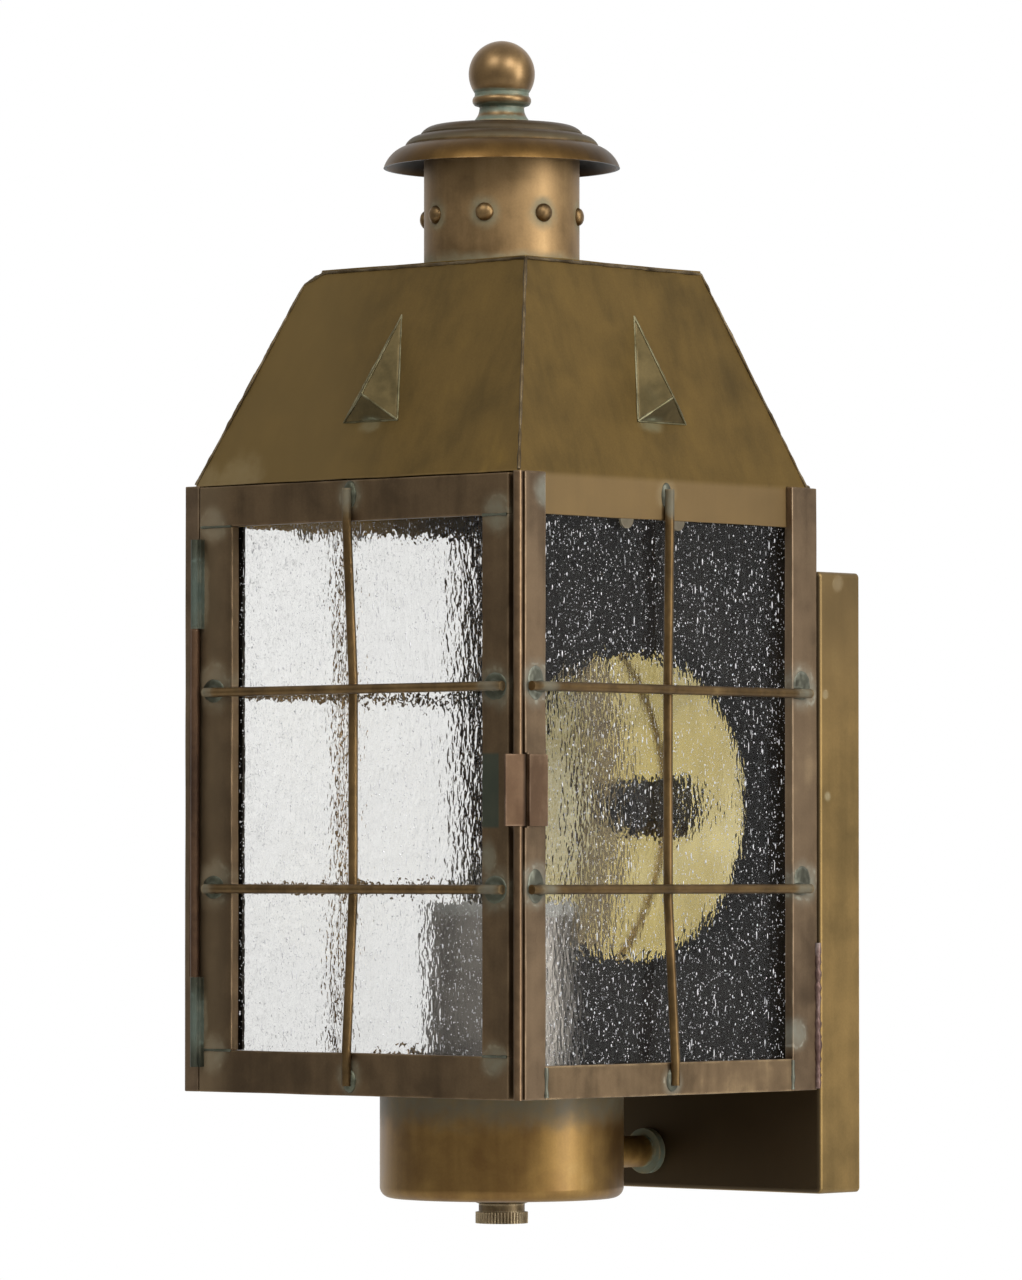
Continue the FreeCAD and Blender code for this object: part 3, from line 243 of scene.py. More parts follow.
def build_edge_wear():
    """Finds edges and corners and rubs them to brighter metal."""
    inputs = [
        ("Color", "Color", (0.1, 0.1, 0.1, 1)),
        ("Worn", "Color", (0.4, 0.26, 0.11, 1)),
        ("Amount", "Float", 0.5),
    ]
    tree, given, result = new_group("Edge Wear", inputs, [("Color", "Color")])
    rounded = add(tree, "Bevel", {"Radius": WEAR_REACH}, samples=4).outputs[0]
    turn = vector_calc(tree, "DOT_PRODUCT", rounded, add(tree, "NewGeometry").outputs["Normal"])
    rub = clouds(tree, object_place(tree), WEAR_SCALE, 5.0)
    edge = times(tree, fade(tree, turn, 0.995, 0.9), fade(tree, rub, 0.38, 0.6))
    edge = times(tree, edge, given["Amount"])
    feed(tree, result["Color"], tint(tree, edge, given["Color"], given["Worn"]))
    return tree


stain_spot = build_stain_spot()
patina = build_patina()
edge_wear = build_edge_wear()


def fill_in(tree, node, **inputs):
    """Feeds a node's inputs by their names."""
    for key, value in inputs.items():
        feed(tree, node.inputs[key.replace("_", " ")], value)


def use_group(tree, group, **inputs):
    node = tree.nodes.new("ShaderNodeGroup")
    node.node_tree = group
    fill_in(tree, node, **inputs)
    return node.outputs


def new_material(name):
    material = bpy.data.materials.new(name)
    material.use_nodes = True
    return material, material.node_tree, material.node_tree.nodes["Principled BSDF"]


def dress(material, *names):
    """Gives CAD nodes a material."""
    for name in names:
        mesh = nodes[name].data
        mesh.materials.clear()
        mesh.materials.append(material)


RUB_GAIN, RUB_LIFT, SHADE_PATCHINESS = 1.35, 0.03, 0.2
BARE_METAL, GREEN_DULLS, DENT_DEPTH, DENT_STRENGTH, COAT_ROUGHNESS = 0.92, 0.65, 0.0005, 0.6, 0.3


def aged_brass(
    name, dark, warm, bright, haze, scale=22.0, shine=0.4, green=0.3, wear=0.5, gloss=0.5, coat=0.0,
    chalky=0.6, spots=(), shades=(), on=(),
):
    """Brass with patina and worn edges, from its dark, warm and bright tones and its green haze.

    The CAD nodes that it is on are dressed in it.
    A spot of verdigris is a place, its reach in millimetres and the directions that it spreads in.
    A shade is a coordinate, a way, where along it the shade starts and is full, its colour and its share.
    Some shades are painted light and shade.
    """
    material, tree, shader = new_material(name)
    coordinates = add(tree, "TexCoord").outputs
    place = coordinates["Object"]
    stain = chalk = 0.0
    for middle, reach, axes in spots:
        spot = use_group(tree, stain_spot, Vector=place, Place=middle, Axes=axes, Reach=reach / 1000)
        stain = calc(tree, "MAXIMUM", spot["Stain"], stain)
        chalk = calc(tree, "MAXIMUM", spot["Chalk"], chalk)
    if spots:
        chalk = times(tree, chalk, chalky)
    skin = use_group(
        tree, patina, Vector=place, Dark=(*dark, 1), Warm=(*warm, 1), Bright=(*bright, 1), Haze=(*haze, 1),
        Cloud_Scale=scale, Bright_Share=shine, Green_Share=green, Stain=stain, Chalk=chalk, Gloss=gloss,
    )
    rubbed = [min(1.0, part * RUB_GAIN + RUB_LIFT) for part in bright]
    colour = use_group(tree, edge_wear, Color=skin["Color"], Worn=(*rubbed, 1), Amount=wear)["Color"]
    for coordinate, way, start, full, shade, share in shades:
        along = vector_calc(tree, "DOT_PRODUCT", coordinates[coordinate], way)
        patchy = spread(tree, skin["Height"], share - SHADE_PATCHINESS, share)
        covered = times(tree, fade(tree, along, start, full), patchy)
        colour = tint(tree, covered, colour, (*shade, 1))
    metal = times_plus(tree, skin["Green"], -GREEN_DULLS, BARE_METAL)
    bump = add(tree, "Bump", {"Height": skin["Height"], "Distance": DENT_DEPTH, "Strength": DENT_STRENGTH})
    fill_in(
        tree, shader, Base_Color=colour, Roughness=skin["Roughness"], Metallic=metal, Normal=bump.outputs[0],
        Coat_Weight=coat, Coat_Roughness=COAT_ROUGHNESS,
    )
    dress(material, *on)
    return material


ROUND, UP_AND_DOWN, ON_SIDE, ON_FRONT = (1, 1, 1), (0, 0, 1), (0, 1, 1), (1, 0, 1)
UP, DOWN, TO_RIGHT, TO_LEFT = (0, 0, 1), (0, 0, -1), (1, 0, 0), (-1, 0, 0)
TO_FRONT, TO_WALL = (0, -1, 0), (0, 1, 0)
FACING_STARTS, FACING_FULL = 0.4, 0.85
PLATE_SIDE = round(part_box("wall_plate")[1].x * 1000, 3)
aged_brass(
    "plate_brass",
    (0.17, 0.114, 0.043), (0.31, 0.202, 0.075), (0.42, 0.29, 0.112), (0.29, 0.245, 0.14),
    scale=15.0, green=0.2,
    spots=[
        (at(PLATE_SIDE, 79, 159), 3.4, ROUND),
        (at(PLATE_SIDE, 73, 124), 2, ROUND),
        (at(PLATE_SIDE, 74, 92), 2, ROUND),
        (at(-PLATE_SIDE, 80, 140), 3, ROUND),
        (at(-PLATE_SIDE, 75, 20), 4, ROUND),
    ],
    # Painted shade: the top of the side is darker than its middle, and the front, behind the lantern's body,
    # is dark brown.
    shades=[
        ("Object", UP, at(0, 0, 95).z, at(0, 0, 155).z, (0.17, 0.115, 0.052), 0.8),
        ("Normal", TO_FRONT, FACING_STARTS, FACING_FULL, (0.055, 0.038, 0.02), 1.05),
    ],
    on=["wall_plate"],
)

# Strap and screws: plain steel bar, bent and slotted for the outlet box, and two headless screws.
# They are zinc-plated, and they show only from behind and through the pan's holes.
STRAP_BRUSHING = (1.0, 1.0, 0.012)
strap_steel, tree, shader = new_material("strap_steel")
place = object_place(tree)
brushed = clouds(tree, vector_calc(tree, "MULTIPLY", place, STRAP_BRUSHING), 900.0, 3.0)
zinc = tint(tree, brushed, (0.36, 0.36, 0.36, 1), (0.56, 0.56, 0.55, 1))
fill_in(tree, shader, Base_Color=zinc, Roughness=spread(tree, brushed, 0.28, 0.48), Metallic=1.0)
dress(strap_steel, "mounting_strap", "strap_screws")

# Back panel and floor: sheet brass that closes the lamp chamber, soldered to the stiles and rails.
# Heat and smoke have turned them nearly black inside. They are darker still towards the right. Outside they
# are brown.
RIGHT_DARKER_STARTS, RIGHT_DARKER_FULL = 0.022, 0.05
chamber_brass = aged_brass(
    "chamber_brass",
    (0.033, 0.03, 0.0275), (0.057, 0.052, 0.047), (0.085, 0.075, 0.062), (0.07, 0.07, 0.064),
    scale=30.0, shine=0.2, green=0.05, wear=0.2, gloss=0.1,
    shades=[
        # This shade makes the inside darker towards the right.
        ("Object", TO_RIGHT, RIGHT_DARKER_STARTS, RIGHT_DARKER_FULL, (0.016, 0.0125, 0.01), 1.0),
        ("Normal", TO_WALL, FACING_STARTS, FACING_FULL, (0.2, 0.13, 0.055), 1.1),
        ("Normal", DOWN, FACING_STARTS, FACING_FULL, (0.16, 0.11, 0.055), 1.1),
    ],
    on=["back_panel", "floor_plate"],
)

# Side frames: flat brass bars, soldered to the floor, the roof and each other, and the latch's round rod.
# Each bar's mesh is the solid's with its edges eased and its faces a little uneven, as hand-dressed bar is.
# Solder lies over the wires' ends as thin uneven lumps, and along the joints as beads.
WIRE_LEVELS = (63, 124)
SIDE_FACE = round(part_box("right_rear_stile")[1].x * 1000, 3)
APRON_FACE = round(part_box("roof_right_panel")[1].x * 1000, 3)
RAIL_END, BEAD_SHIFT = 57.9, 0.1
MERGE_DISTANCE, FLAT_ANGLE, EDGE_ANGLE, SHARP_ANGLE = 1e-6, 0.01, 0.3, 0.2
WAVES_PER_METRE, WAVE_SEED, SIDEWAYS = 45, 7, 0.9
ripple.seed_set(WAVE_SEED)


def linked(name, data):
    """A new object in the scene."""
    thing = bpy.data.objects.new(name, data)
    bpy.context.scene.collection.objects.link(thing)
    return thing


def made_piece(name, form, material, body, sharp=0.0):
    """Makes a piece of a form. It rides on a body, and edges that turn by less than sharp are smooth."""
    mesh = bpy.data.meshes.new(name)
    form.to_mesh(mesh)
    form.free()
    if sharp:
        mesh.shade_smooth()
        mesh.set_sharp_from_angle(angle=sharp)
    mesh.materials.append(material)
    piece = linked(name, mesh)
    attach(piece, body)
    return piece


def eased(name, material, edge=0.35, cut_every=7.0, uneven=0.1):
    """A copy of a flat solid with eased edges and slightly uneven faces, which stands for its node."""
    form = bmesh.new()
    form.from_mesh(nodes[name].data)
    bmesh.ops.remove_doubles(form, verts=form.verts, dist=MERGE_DISTANCE)
    bmesh.ops.dissolve_limit(form, angle_limit=FLAT_ANGLE, verts=form.verts, edges=form.edges)
    corners = [line for line in form.edges if line.calc_face_angle(0) > EDGE_ANGLE]
    bmesh.ops.bevel(
        form, geom=corners, offset=edge / 1000, segments=2, profile=0.6, affect="EDGES", clamp_overlap=True
    )
    low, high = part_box(name)
    for axis in range(3):
        way = Vector([float(axis == index) for index in range(3)])
        steps = int((high[axis] - low[axis]) / (cut_every / 1000))
        for step in range(1, steps):
            middle = low + (high - low) * (step / steps)
            every = [*form.verts, *form.edges, *form.faces]
            bmesh.ops.bisect_plane(form, geom=every, plane_co=middle, plane_no=way)
    for point in form.verts:
        point.co += ripple.noise_vector(point.co * WAVES_PER_METRE) * (uneven / 1000)
    piece = made_piece(f"{name}_eased", form, material, nodes[name]["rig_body"], SHARP_ANGLE)
    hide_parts(name)


def new_tree(name, inputs):
    """A Geometry Nodes tree with named inputs. Gives the tree, its inputs and its output socket."""
    mesh = ("Geometry", "Geometry")
    tree, given, result = new_group(name, [mesh, *inputs], [mesh], use="Geometry")
    return tree, given, result[0]


def shape(tree, kind, inputs=(), **settings):
    """A geometry node's first output."""
    return put(tree, f"GeometryNode{kind}", inputs, **settings).outputs[0]


def roughen(tree, geometry, amount, grain):
    """Pushes the surface in and out along its normal by noise."""
    noise = add(tree, "TexNoise", {"Scale": grain, "Detail": 3.0}).outputs[0]
    push = times(tree, calc(tree, "SUBTRACT", noise, 0.5), amount)
    inputs = {0: shape(tree, "InputNormal"), "Scale": push}
    shift = add(tree, "VectorMath", inputs, operation="SCALE").outputs[0]
    return shape(tree, "SetPosition", {"Geometry": geometry, "Offset": shift})


def finish_tree(tree, geometry, material, sink):
    """Ends a tree with real, smooth geometry in one material."""
    real = shape(tree, "RealizeInstances", {0: geometry})
    smooth = shape(tree, "SetShadeSmooth", {0: real})
    tree.links.new(shape(tree, "SetMaterial", {"Geometry": smooth, "Material": material}), sink)


def grown(name, mesh, tree, body, slot, **values):
    """Runs a tree on a mesh and gives a plain mesh piece that rides on a body."""
    piece = linked(name, mesh)
    modifier = piece.modifiers.new(name, "NODES")
    modifier.node_group = tree
    for item in tree.interface.items_tree:
        key = item.name.replace(" ", "_")
        if item.in_out == "INPUT" and key in values:
            modifier[item.identifier] = values[key]
    ready = piece.evaluated_get(bpy.context.evaluated_depsgraph_get())
    result = bpy.data.meshes.new_from_object(ready)
    piece.modifiers.remove(modifier)
    piece.data = result
    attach(piece, body)
    return piece


def build_lumps():
    """Flattened, uneven domes on a mesh's points, each turned to its facing and of its own size."""
    inputs = [("Unevenness", "Float"), ("Grain", "Float"), ("Material", "Material")]
    tree, given, sink = new_tree("Solder Lumps", inputs)

    def carried(label):
        return shape(tree, "InputNamedAttribute", {"Name": label}, data_type="FLOAT_VECTOR")

    ball = shape(tree, "MeshIcoSphere", {"Radius": 1.0, "Subdivisions": 4})
    turn = put(tree, "FunctionNodeAlignRotationToVector", {"Vector": carried("facing")}).outputs[0]
    inputs = {"Points": given["Geometry"], "Instance": ball, "Rotation": turn, "Scale": carried("size")}
    domes = shape(tree, "RealizeInstances", {0: shape(tree, "InstanceOnPoints", inputs)})
    finish_tree(tree, roughen(tree, domes, given["Unevenness"], given["Grain"]), given["Material"], sink)
    return tree


def lump_points(name, lumps):
    """Points for the lumps: a place, a facing, and the half width, half height and rise in millimetres."""
    mesh = bpy.data.meshes.new(name)
    mesh.from_pydata([middle for middle, *_ in lumps], [], [])
    facing = mesh.attributes.new("facing", "FLOAT_VECTOR", "POINT")
    size = mesh.attributes.new("size", "FLOAT_VECTOR", "POINT")
    for index, (_, way, across, upright, rise) in enumerate(lumps):
        facing.data[index].vector = way
        first, second = (upright, across) if abs(way[0]) > SIDEWAYS else (across, upright)
        size.data[index].vector = Vector((first, second, rise)) / 1000
    return mesh


BEAD_STEP, BEAD_SIDES, BEAD_GRAIN = 0.001, 8, 900.0
SWELL_GAIN, SWELL_LEAST = 1.6, 0.2


def build_bead():
    """A round bead of uneven thickness along a mesh's edges."""
    inputs = [("Radius", "Float"), ("Unevenness", "Float"), ("Grain", "Float"), ("Material", "Material")]
    tree, given, sink = new_tree("Solder Bead", inputs)
    line = shape(tree, "MeshToCurve", {"Mesh": given["Geometry"]})
    even = shape(tree, "ResampleCurve", {"Curve": line, "Length": BEAD_STEP}, mode="LENGTH")
    noise = add(tree, "TexNoise", {"Scale": given["Grain"], "Detail": 2.0}).outputs[0]
    swell = times_plus(tree, noise, SWELL_GAIN, SWELL_LEAST)
    thick = times(tree, swell, given["Radius"])
    ring = shape(tree, "CurvePrimitiveCircle", {"Resolution": BEAD_SIDES, "Radius": 1.0})
    inputs = {"Curve": even, "Profile Curve": ring, "Scale": thick, "Fill Caps": True}
    tube = shape(tree, "CurveToMesh", inputs)
    finish_tree(tree, roughen(tree, tube, given["Unevenness"], BEAD_GRAIN), given["Material"], sink)
    return tree


def bead_lines(name, lines):
    """One mesh of the lines that beads follow. Each is a list of places."""
    points = [place for line in lines for place in line]
    edges = []
    first = 0
    for line in lines:
        edges += [(first + step, first + step + 1) for step in range(len(line) - 1)]
        first += len(line)
    mesh = bpy.data.meshes.new(name)
    mesh.from_pydata(points, edges, [])
    return mesh


lump_tree = build_lumps()
bead_tree = build_bead()


def lay_lumps(name, lumps, body, material, unevenness=0.0007, grain=420.0):
    """A piece of uneven lumps that rides on a body."""
    return grown(
        name, lump_points(f"{name}_points", lumps), lump_tree, body, "aged_brass",
        Unevenness=unevenness, Grain=grain, Material=material,
    )


def lay_beads(name, lines, body, material, radius, unevenness=0.0002, grain=300.0):
    """A piece of beads along lines that rides on a body."""
    return grown(
        name, bead_lines(f"{name}_lines", lines), bead_tree, body, "aged_brass",
        Radius=radius, Unevenness=unevenness, Grain=grain, Material=material,
    )


side_spots = []
side_lumps = []
side_beads = []
plate_beads = []
for side in (1, -1):
    out = (side, 0, 0)
    face = side * SIDE_FACE
    for level in WIRE_LEVELS:
        side_spots += [(at(face, -62.5, level + 1), 9, ON_SIDE), (at(face, 63, level + 2), 9.5, ON_SIDE)]
        side_lumps += [
            (at(face, -62.7, level + 1), out, 3.6, 5.2, 0.35),
            (at(face, -60.8, level), out, 3.4, 1.9, 1.7),
            (at(face, 62.5, level + 2.5), out, 3.9, 4.6, 0.35),
            (at(face, 60.5, level), out, 3.6, 1.9, 1.6),
        ]
    side_spots += [(at(face, 0, 4), 6, ON_SIDE), (at(face, 60, 18), 7, ON_SIDE)]
    side_spots.append((at(face, -58, 183), 7, ON_SIDE))
    side_lumps += [
        (at(side * APRON_FACE, 0, 183.6), out, 2.2, 4.0, 1.2),
        (at(face, 0, 4.6), out, 2.6, 3.6, 1.2),
    ]
    rail, rear = side * (SIDE_FACE - BEAD_SHIFT), side * (SIDE_FACE + BEAD_SHIFT)
    apron = side * (APRON_FACE + BEAD_SHIFT)
    side_beads += [
        [at(rail, RAIL_END, 0.5), at(rail, RAIL_END, 9.6)],
        [at(rail, -RAIL_END, 0.5), at(rail, -RAIL_END, 9.6)],
        [at(apron, -RAIL_END, 176.8), at(apron, -RAIL_END, 187.6)],
    ]
    plate_beads.append([at(rear, 70.0, 0.6), at(rear, 70.0, 46)])
side_brass = aged_brass(
    "side_frame_brass",
    (0.105, 0.07, 0.041), (0.21, 0.144, 0.085), (0.32, 0.227, 0.13), (0.19, 0.19, 0.148),
    scale=24.0, shine=0.3, green=0.25, coat=0.1, spots=side_spots,
)
rail_brass = aged_brass(
    "bottom_rail_brass",
    (0.12, 0.08, 0.043), (0.23, 0.155, 0.085), (0.4, 0.285, 0.15), (0.21, 0.2, 0.15),
    scale=30.0, shine=0.5, green=0.25, wear=0.8, coat=0.1, spots=side_spots,
)
for side in ("right", "left"):
    eased(f"{side}_bottom_rail", rail_brass)
    for bar in ("front_stile", "rear_stile"):
        eased(f"{side}_{bar}", side_brass)
solder_skin = aged_brass(
    "solder_skin",
    (0.08, 0.078, 0.058), (0.14, 0.142, 0.108), (0.25, 0.26, 0.21), (0.16, 0.18, 0.145),
    scale=90.0, green=0.6, wear=0.3,
)
rough_solder = aged_brass(
    "rough_solder",
    (0.11, 0.065, 0.055), (0.2, 0.13, 0.11), (0.42, 0.38, 0.36), (0.3, 0.28, 0.26),
    scale=120.0, shine=0.6, green=0.4, wear=0.3,
)
lay_lumps("side_solder_lumps", side_lumps, "lantern", solder_skin)
lay_beads("side_solder_beads", side_beads, "lantern", solder_skin, 0.0008, unevenness=0.0004)
lay_beads(
    "plate_solder_beads", plate_beads, "lantern", rough_solder, 0.0011, unevenness=0.0008, grain=500.0
)
aged_brass(
    "corner_rod_brass",
    (0.11, 0.066, 0.033), (0.2, 0.125, 0.066), (0.32, 0.22, 0.125), (0.2, 0.18, 0.12),
    scale=60.0, shine=0.5, green=0.1, gloss=0.9, coat=0.2, on=["corner_rod"],
)

# Roof: four sheet panels soldered along the hips, with a raised three-sided peak on three of them.
# A flat plate closes the top round the chimney. Solder fills the clipped corner, and the eaves have a bead
# at the back and a hem at the front. The metal is olive with golden runs, and green in the hollows.
GABLET_WAYS = {"front": (0, -1), "right": (1, 0), "left": (-1, 0)}
GABLET_OUT, GABLET_STAIN_LEVEL = 61, 205.5
TO_FRONT_LEFT, LIGHTER_FROM, LIGHTER_FULL = (-0.7, -0.7, 0), 0.092, 0.122
roof_spots = []
for x, y in GABLET_WAYS.values():
    stain = at(x * GABLET_OUT, y * GABLET_OUT, GABLET_STAIN_LEVEL)
    roof_spots.append((stain, 7, (1 - abs(x) * 0.5, 1 - abs(y) * 0.5, 2)))
roof_spots += [(at(-50, -68, 189), 13, ROUND), (at(-64, -67, 189), 9, ROUND)]
roof_spots += [(at(68, 0, 184), 6, ROUND), (at(-68, 0, 184), 6, ROUND)]
roof_brass = aged_brass(
    "roof_brass",
    (0.1, 0.065, 0.021), (0.174, 0.109, 0.032), (0.265, 0.166, 0.04), (0.135, 0.122, 0.06),
    scale=13.0, shine=0.35, green=0.2, wear=0.35, chalky=0.25, spots=roof_spots,
    shades=[
        ("Object", TO_FRONT_LEFT, LIGHTER_FROM, LIGHTER_FULL, (0.2, 0.132, 0.045), 0.8),
        # Painted light: the upright aprons below the eaves are lighter, where the light from the side falls
        # on them.
        ("Object", UP, at(0, 0, 189.5).z, at(0, 0, 187).z, (0.28, 0.19, 0.095), 0.65),
    ],
)
for panel in ("front_panel", "right_panel", "back_panel", "left_panel", "top_plate"):
    eased(f"roof_{panel}", roof_brass, edge=0.25, cut_every=9.0, uneven=0.3)
# The gablets get a darker, greener copy of the roof's brass: the green is patina, and the darkness is painted
# shade.
gablet_brass = aged_brass(
    "gablet_brass",
    (0.066, 0.05, 0.021), (0.115, 0.085, 0.036), (0.19, 0.14, 0.06), (0.13, 0.14, 0.085),
    scale=60.0, shine=0.35, green=0.5, wear=0.6, spots=roof_spots,
)
for side in GABLET_WAYS:
    eased(f"{side}_gablet", gablet_brass, edge=0.3, cut_every=9.0)
EAVE, EAVE_LEVEL = 67.6, 189
TOP_SIDE, TOP_FRONT, TOP_BACK, TOP_LEVEL = 45.3, -39.5, 43.0, 255.6
CUT_IN, CUT_OUT, CUT_FRONT, CUT_DROP = 6.1, 1.1, 1.4, 3.4
SEAM_OUT, SEAM_DROP = 1, 0.7
HEM_END, HEM_IN, HEM_DROP = 4, 2.6, 0.9
front_right, back_right = at(TOP_SIDE, TOP_FRONT, TOP_LEVEL), at(TOP_SIDE, TOP_BACK, TOP_LEVEL)
back_left, front_left = at(-TOP_SIDE, TOP_BACK, TOP_LEVEL), at(-TOP_SIDE + CUT_IN, TOP_FRONT, TOP_LEVEL)
cut_left = at(-TOP_SIDE - CUT_OUT, TOP_FRONT - CUT_FRONT, TOP_LEVEL - CUT_DROP)
seams = [
    [at(EAVE, -EAVE, EAVE_LEVEL), front_right, back_right, at(EAVE, EAVE, EAVE_LEVEL)],
    [at(-EAVE, EAVE, EAVE_LEVEL), back_left, back_right],
    [at(-EAVE, -EAVE, EAVE_LEVEL), cut_left, front_left, front_right],
]
back_seam = [at(side * EAVE, EAVE + SEAM_OUT, EAVE_LEVEL - SEAM_DROP) for side in (-1, 1)]
front_hem = [at(side * (EAVE - HEM_END), HEM_IN - EAVE, EAVE_LEVEL - HEM_DROP) for side in (-1, 1)]
seam_solder = aged_brass(
    "seam_solder",
    (0.05, 0.034, 0.017), (0.115, 0.078, 0.036), (0.22, 0.17, 0.1), (0.16, 0.14, 0.09),
    scale=70.0, green=0.2,
)
lay_beads("roof_seams", seams, "lantern", seam_solder, 0.0005, grain=240.0)
lay_beads("back_eave_seam", [back_seam], "lantern", seam_solder, 0.0012, grain=120.0)
lay_beads("front_eave_hem", [front_hem], "lantern", seam_solder, 0.0014, unevenness=0.0001, grain=120.0)
FILL_SHEET, FILL_OUT, FILL_BACK, FILL_DROP = 0.0006, 0.2, 2.5, 0.3
fill = bmesh.new()
corners = [cut_left, front_left, at(-TOP_SIDE - FILL_OUT, TOP_FRONT + FILL_BACK, TOP_LEVEL - FILL_DROP)]
under = [fill.verts.new(corner - Vector((0, 0, FILL_SHEET))) for corner in corners]
over = [fill.verts.new(corner) for corner in corners]
fill.faces.new(under)
fill.faces.new(over)
for step in range(3):
    after = (step + 1) % 3
    fill.faces.new((under[step], under[after], over[after], over[step]))
bmesh.ops.recalc_face_normals(fill, faces=fill.faces)
made_piece("roof_corner_fill", fill, seam_solder, "lantern")
SIDE_FOOT, SIDE_NOSE, FRONT_FOOT, FRONT_NOSE = 0.0047, 0.0077, 0.0041, 0.0082
gablet_edges = []
for side, (x, _) in GABLET_WAYS.items():
    low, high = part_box(f"{side}_gablet")
    if x:
        face, peak = (high.x, low.x) if x > 0 else (low.x, high.x)
        foot = face - x * SIDE_FOOT
        middle = (low.y + high.y) / 2
        feet = [Vector((foot, low.y, low.z)), Vector((foot, high.y, low.z))]
        tip, nose = Vector((peak, middle, high.z)), Vector((face, middle, low.z + SIDE_NOSE))
    else:
        foot = low.y + FRONT_FOOT
        feet = [Vector((low.x, foot, low.z)), Vector((high.x, foot, low.z))]
        tip, nose = Vector((0.0, high.y, high.z)), Vector((0.0, low.y, low.z + FRONT_NOSE))
    gablet_edges += [[tip, feet[0], feet[1], tip], [feet[0], nose, feet[1]], [tip, nose]]
gablet_solder = aged_brass(
    "gablet_solder",
    (0.07, 0.055, 0.025), (0.15, 0.13, 0.065), (0.27, 0.25, 0.15), (0.19, 0.19, 0.12),
    scale=90.0, green=0.5,
)
lay_beads("gablet_seams", gablet_edges, "lantern", gablet_solder, 0.00035, grain=260.0)

# Chimney: a rolled tube with a ring of domed rivets, a spun cap that seats on it, and a turned finial.
# The finial stands on a flared foot. Warm brass, with verdigris round each rivet and in the grooves of the
# cap and the finial.
RIVET_COUNT, RIVET_TURN, RIVET_LEVEL = 8, 29.2, 273.0
RIVET_RADIUS, RIVET_RISE, RIVET_STAIN = 2.85, 1.9, 6.5
tube_low, tube_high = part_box("chimney_tube")
tube_radius = (tube_high.x - tube_low.x) / 2 * 1000
rivet_spots = []
rivet_domes = []
for number in range(RIVET_COUNT):
    angle = math.radians(RIVET_TURN + 360 / RIVET_COUNT * number)
    out = Vector((math.cos(angle), math.sin(angle), 0))
    foot = at(out.x * tube_radius, out.y * tube_radius, RIVET_LEVEL)
    rivet_spots.append((foot, RIVET_STAIN, ROUND))
    rivet_domes.append((foot, out, RIVET_RADIUS, RIVET_RADIUS, RIVET_RISE))
aged_brass(
    "chimney_brass",
    (0.175, 0.111, 0.05), (0.34, 0.218, 0.1), (0.48, 0.323, 0.152), (0.22, 0.21, 0.13),
    scale=26.0, green=0.12, gloss=0.45, chalky=0.12, spots=[*rivet_spots, (at(0, 0, 256), 6, UP_AND_DOWN)],
    on=["chimney_tube"],
)
rivet_brass = aged_brass(
    "rivet_brass",
    (0.13, 0.08, 0.035), (0.24, 0.15, 0.065), (0.4, 0.27, 0.12), (0.22, 0.2, 0.14),
    scale=110.0, green=0.4, gloss=0.6,
)
rivets = lay_lumps("rivet_ring", rivet_domes, "lantern", rivet_brass, unevenness=0.0003, grain=500.0)
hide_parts("chimney_rivets")
CAP_GROOVES, CAP_GROOVE_STAIN = (0.55, 0.75, 1.0), 1.5
BRIM_TOP, CROWN_FOOT = 0.007, 0.009
cap_low, cap_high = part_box("chimney_cap")
cap_spots = []
for share in CAP_GROOVES:
    groove = Vector((0, 0, cap_low.z + (cap_high.z - cap_low.z) * share))
    cap_spots.append((groove, CAP_GROOVE_STAIN, UP_AND_DOWN))
aged_brass(
    "cap_brass",
    (0.06, 0.032, 0.009), (0.111, 0.06, 0.017), (0.18, 0.102, 0.03), (0.085, 0.07, 0.034),
    scale=30.0, green=0.2, gloss=0.65, chalky=0.1, spots=cap_spots,
    shades=[
        # Painted shade: the underside is near black, and the crown above the brim is darker.
        ("Normal", DOWN, 0.3, 0.7, (0.012, 0.009, 0.006), 1.05),
        ("Object", UP, cap_low.z + BRIM_TOP, cap_low.z + CROWN_FOOT, (0.05, 0.034, 0.016), 0.7),
    ],
    on=["chimney_cap"],
)
FINIAL_GROOVES = ((0.6, 2.0), (4.5, 2.2), (9.2, 1.5))
finial_spots = []
for rise, reach in FINIAL_GROOVES:
    finial_spots.append((Vector((0, 0, cap_high.z + rise / 1000)), reach, UP_AND_DOWN))
finial_brass = aged_brass(
    "finial_brass",
    (0.13, 0.08, 0.034), (0.25, 0.155, 0.066), (0.4, 0.265, 0.12), (0.14, 0.21, 0.165),
    scale=45.0, shine=0.45, gloss=0.75, coat=0.15, chalky=0.45, spots=finial_spots, on=["finial"],
)
TURN_STEPS, TURNED_SHARP = 144, 0.6


def turned(name, profile, middle, upright, material):
    """A ring turned about an upright line, or one to the front, from its closed profile in millimetres."""
    form = bmesh.new()
    rings = []
    for radius, rise in profile:
        ring = []
        for step in range(TURN_STEPS):
            turn = math.tau * step / TURN_STEPS
            first, second = radius * math.cos(turn), radius * math.sin(turn)
            spot = Vector((first, second, rise)) if upright else Vector((first, -rise, second))
            ring.append(form.verts.new(middle + spot / 1000))
        rings.append(ring)
    for ring, following in zip(rings, rings[1:] + rings[:1]):
        for step in range(TURN_STEPS):
            after = (step + 1) % TURN_STEPS
            form.faces.new((ring[step], ring[after], following[after], following[step]))
    bmesh.ops.recalc_face_normals(form, faces=form.faces)
    return made_piece(name, form, material, "lantern", TURNED_SHARP)


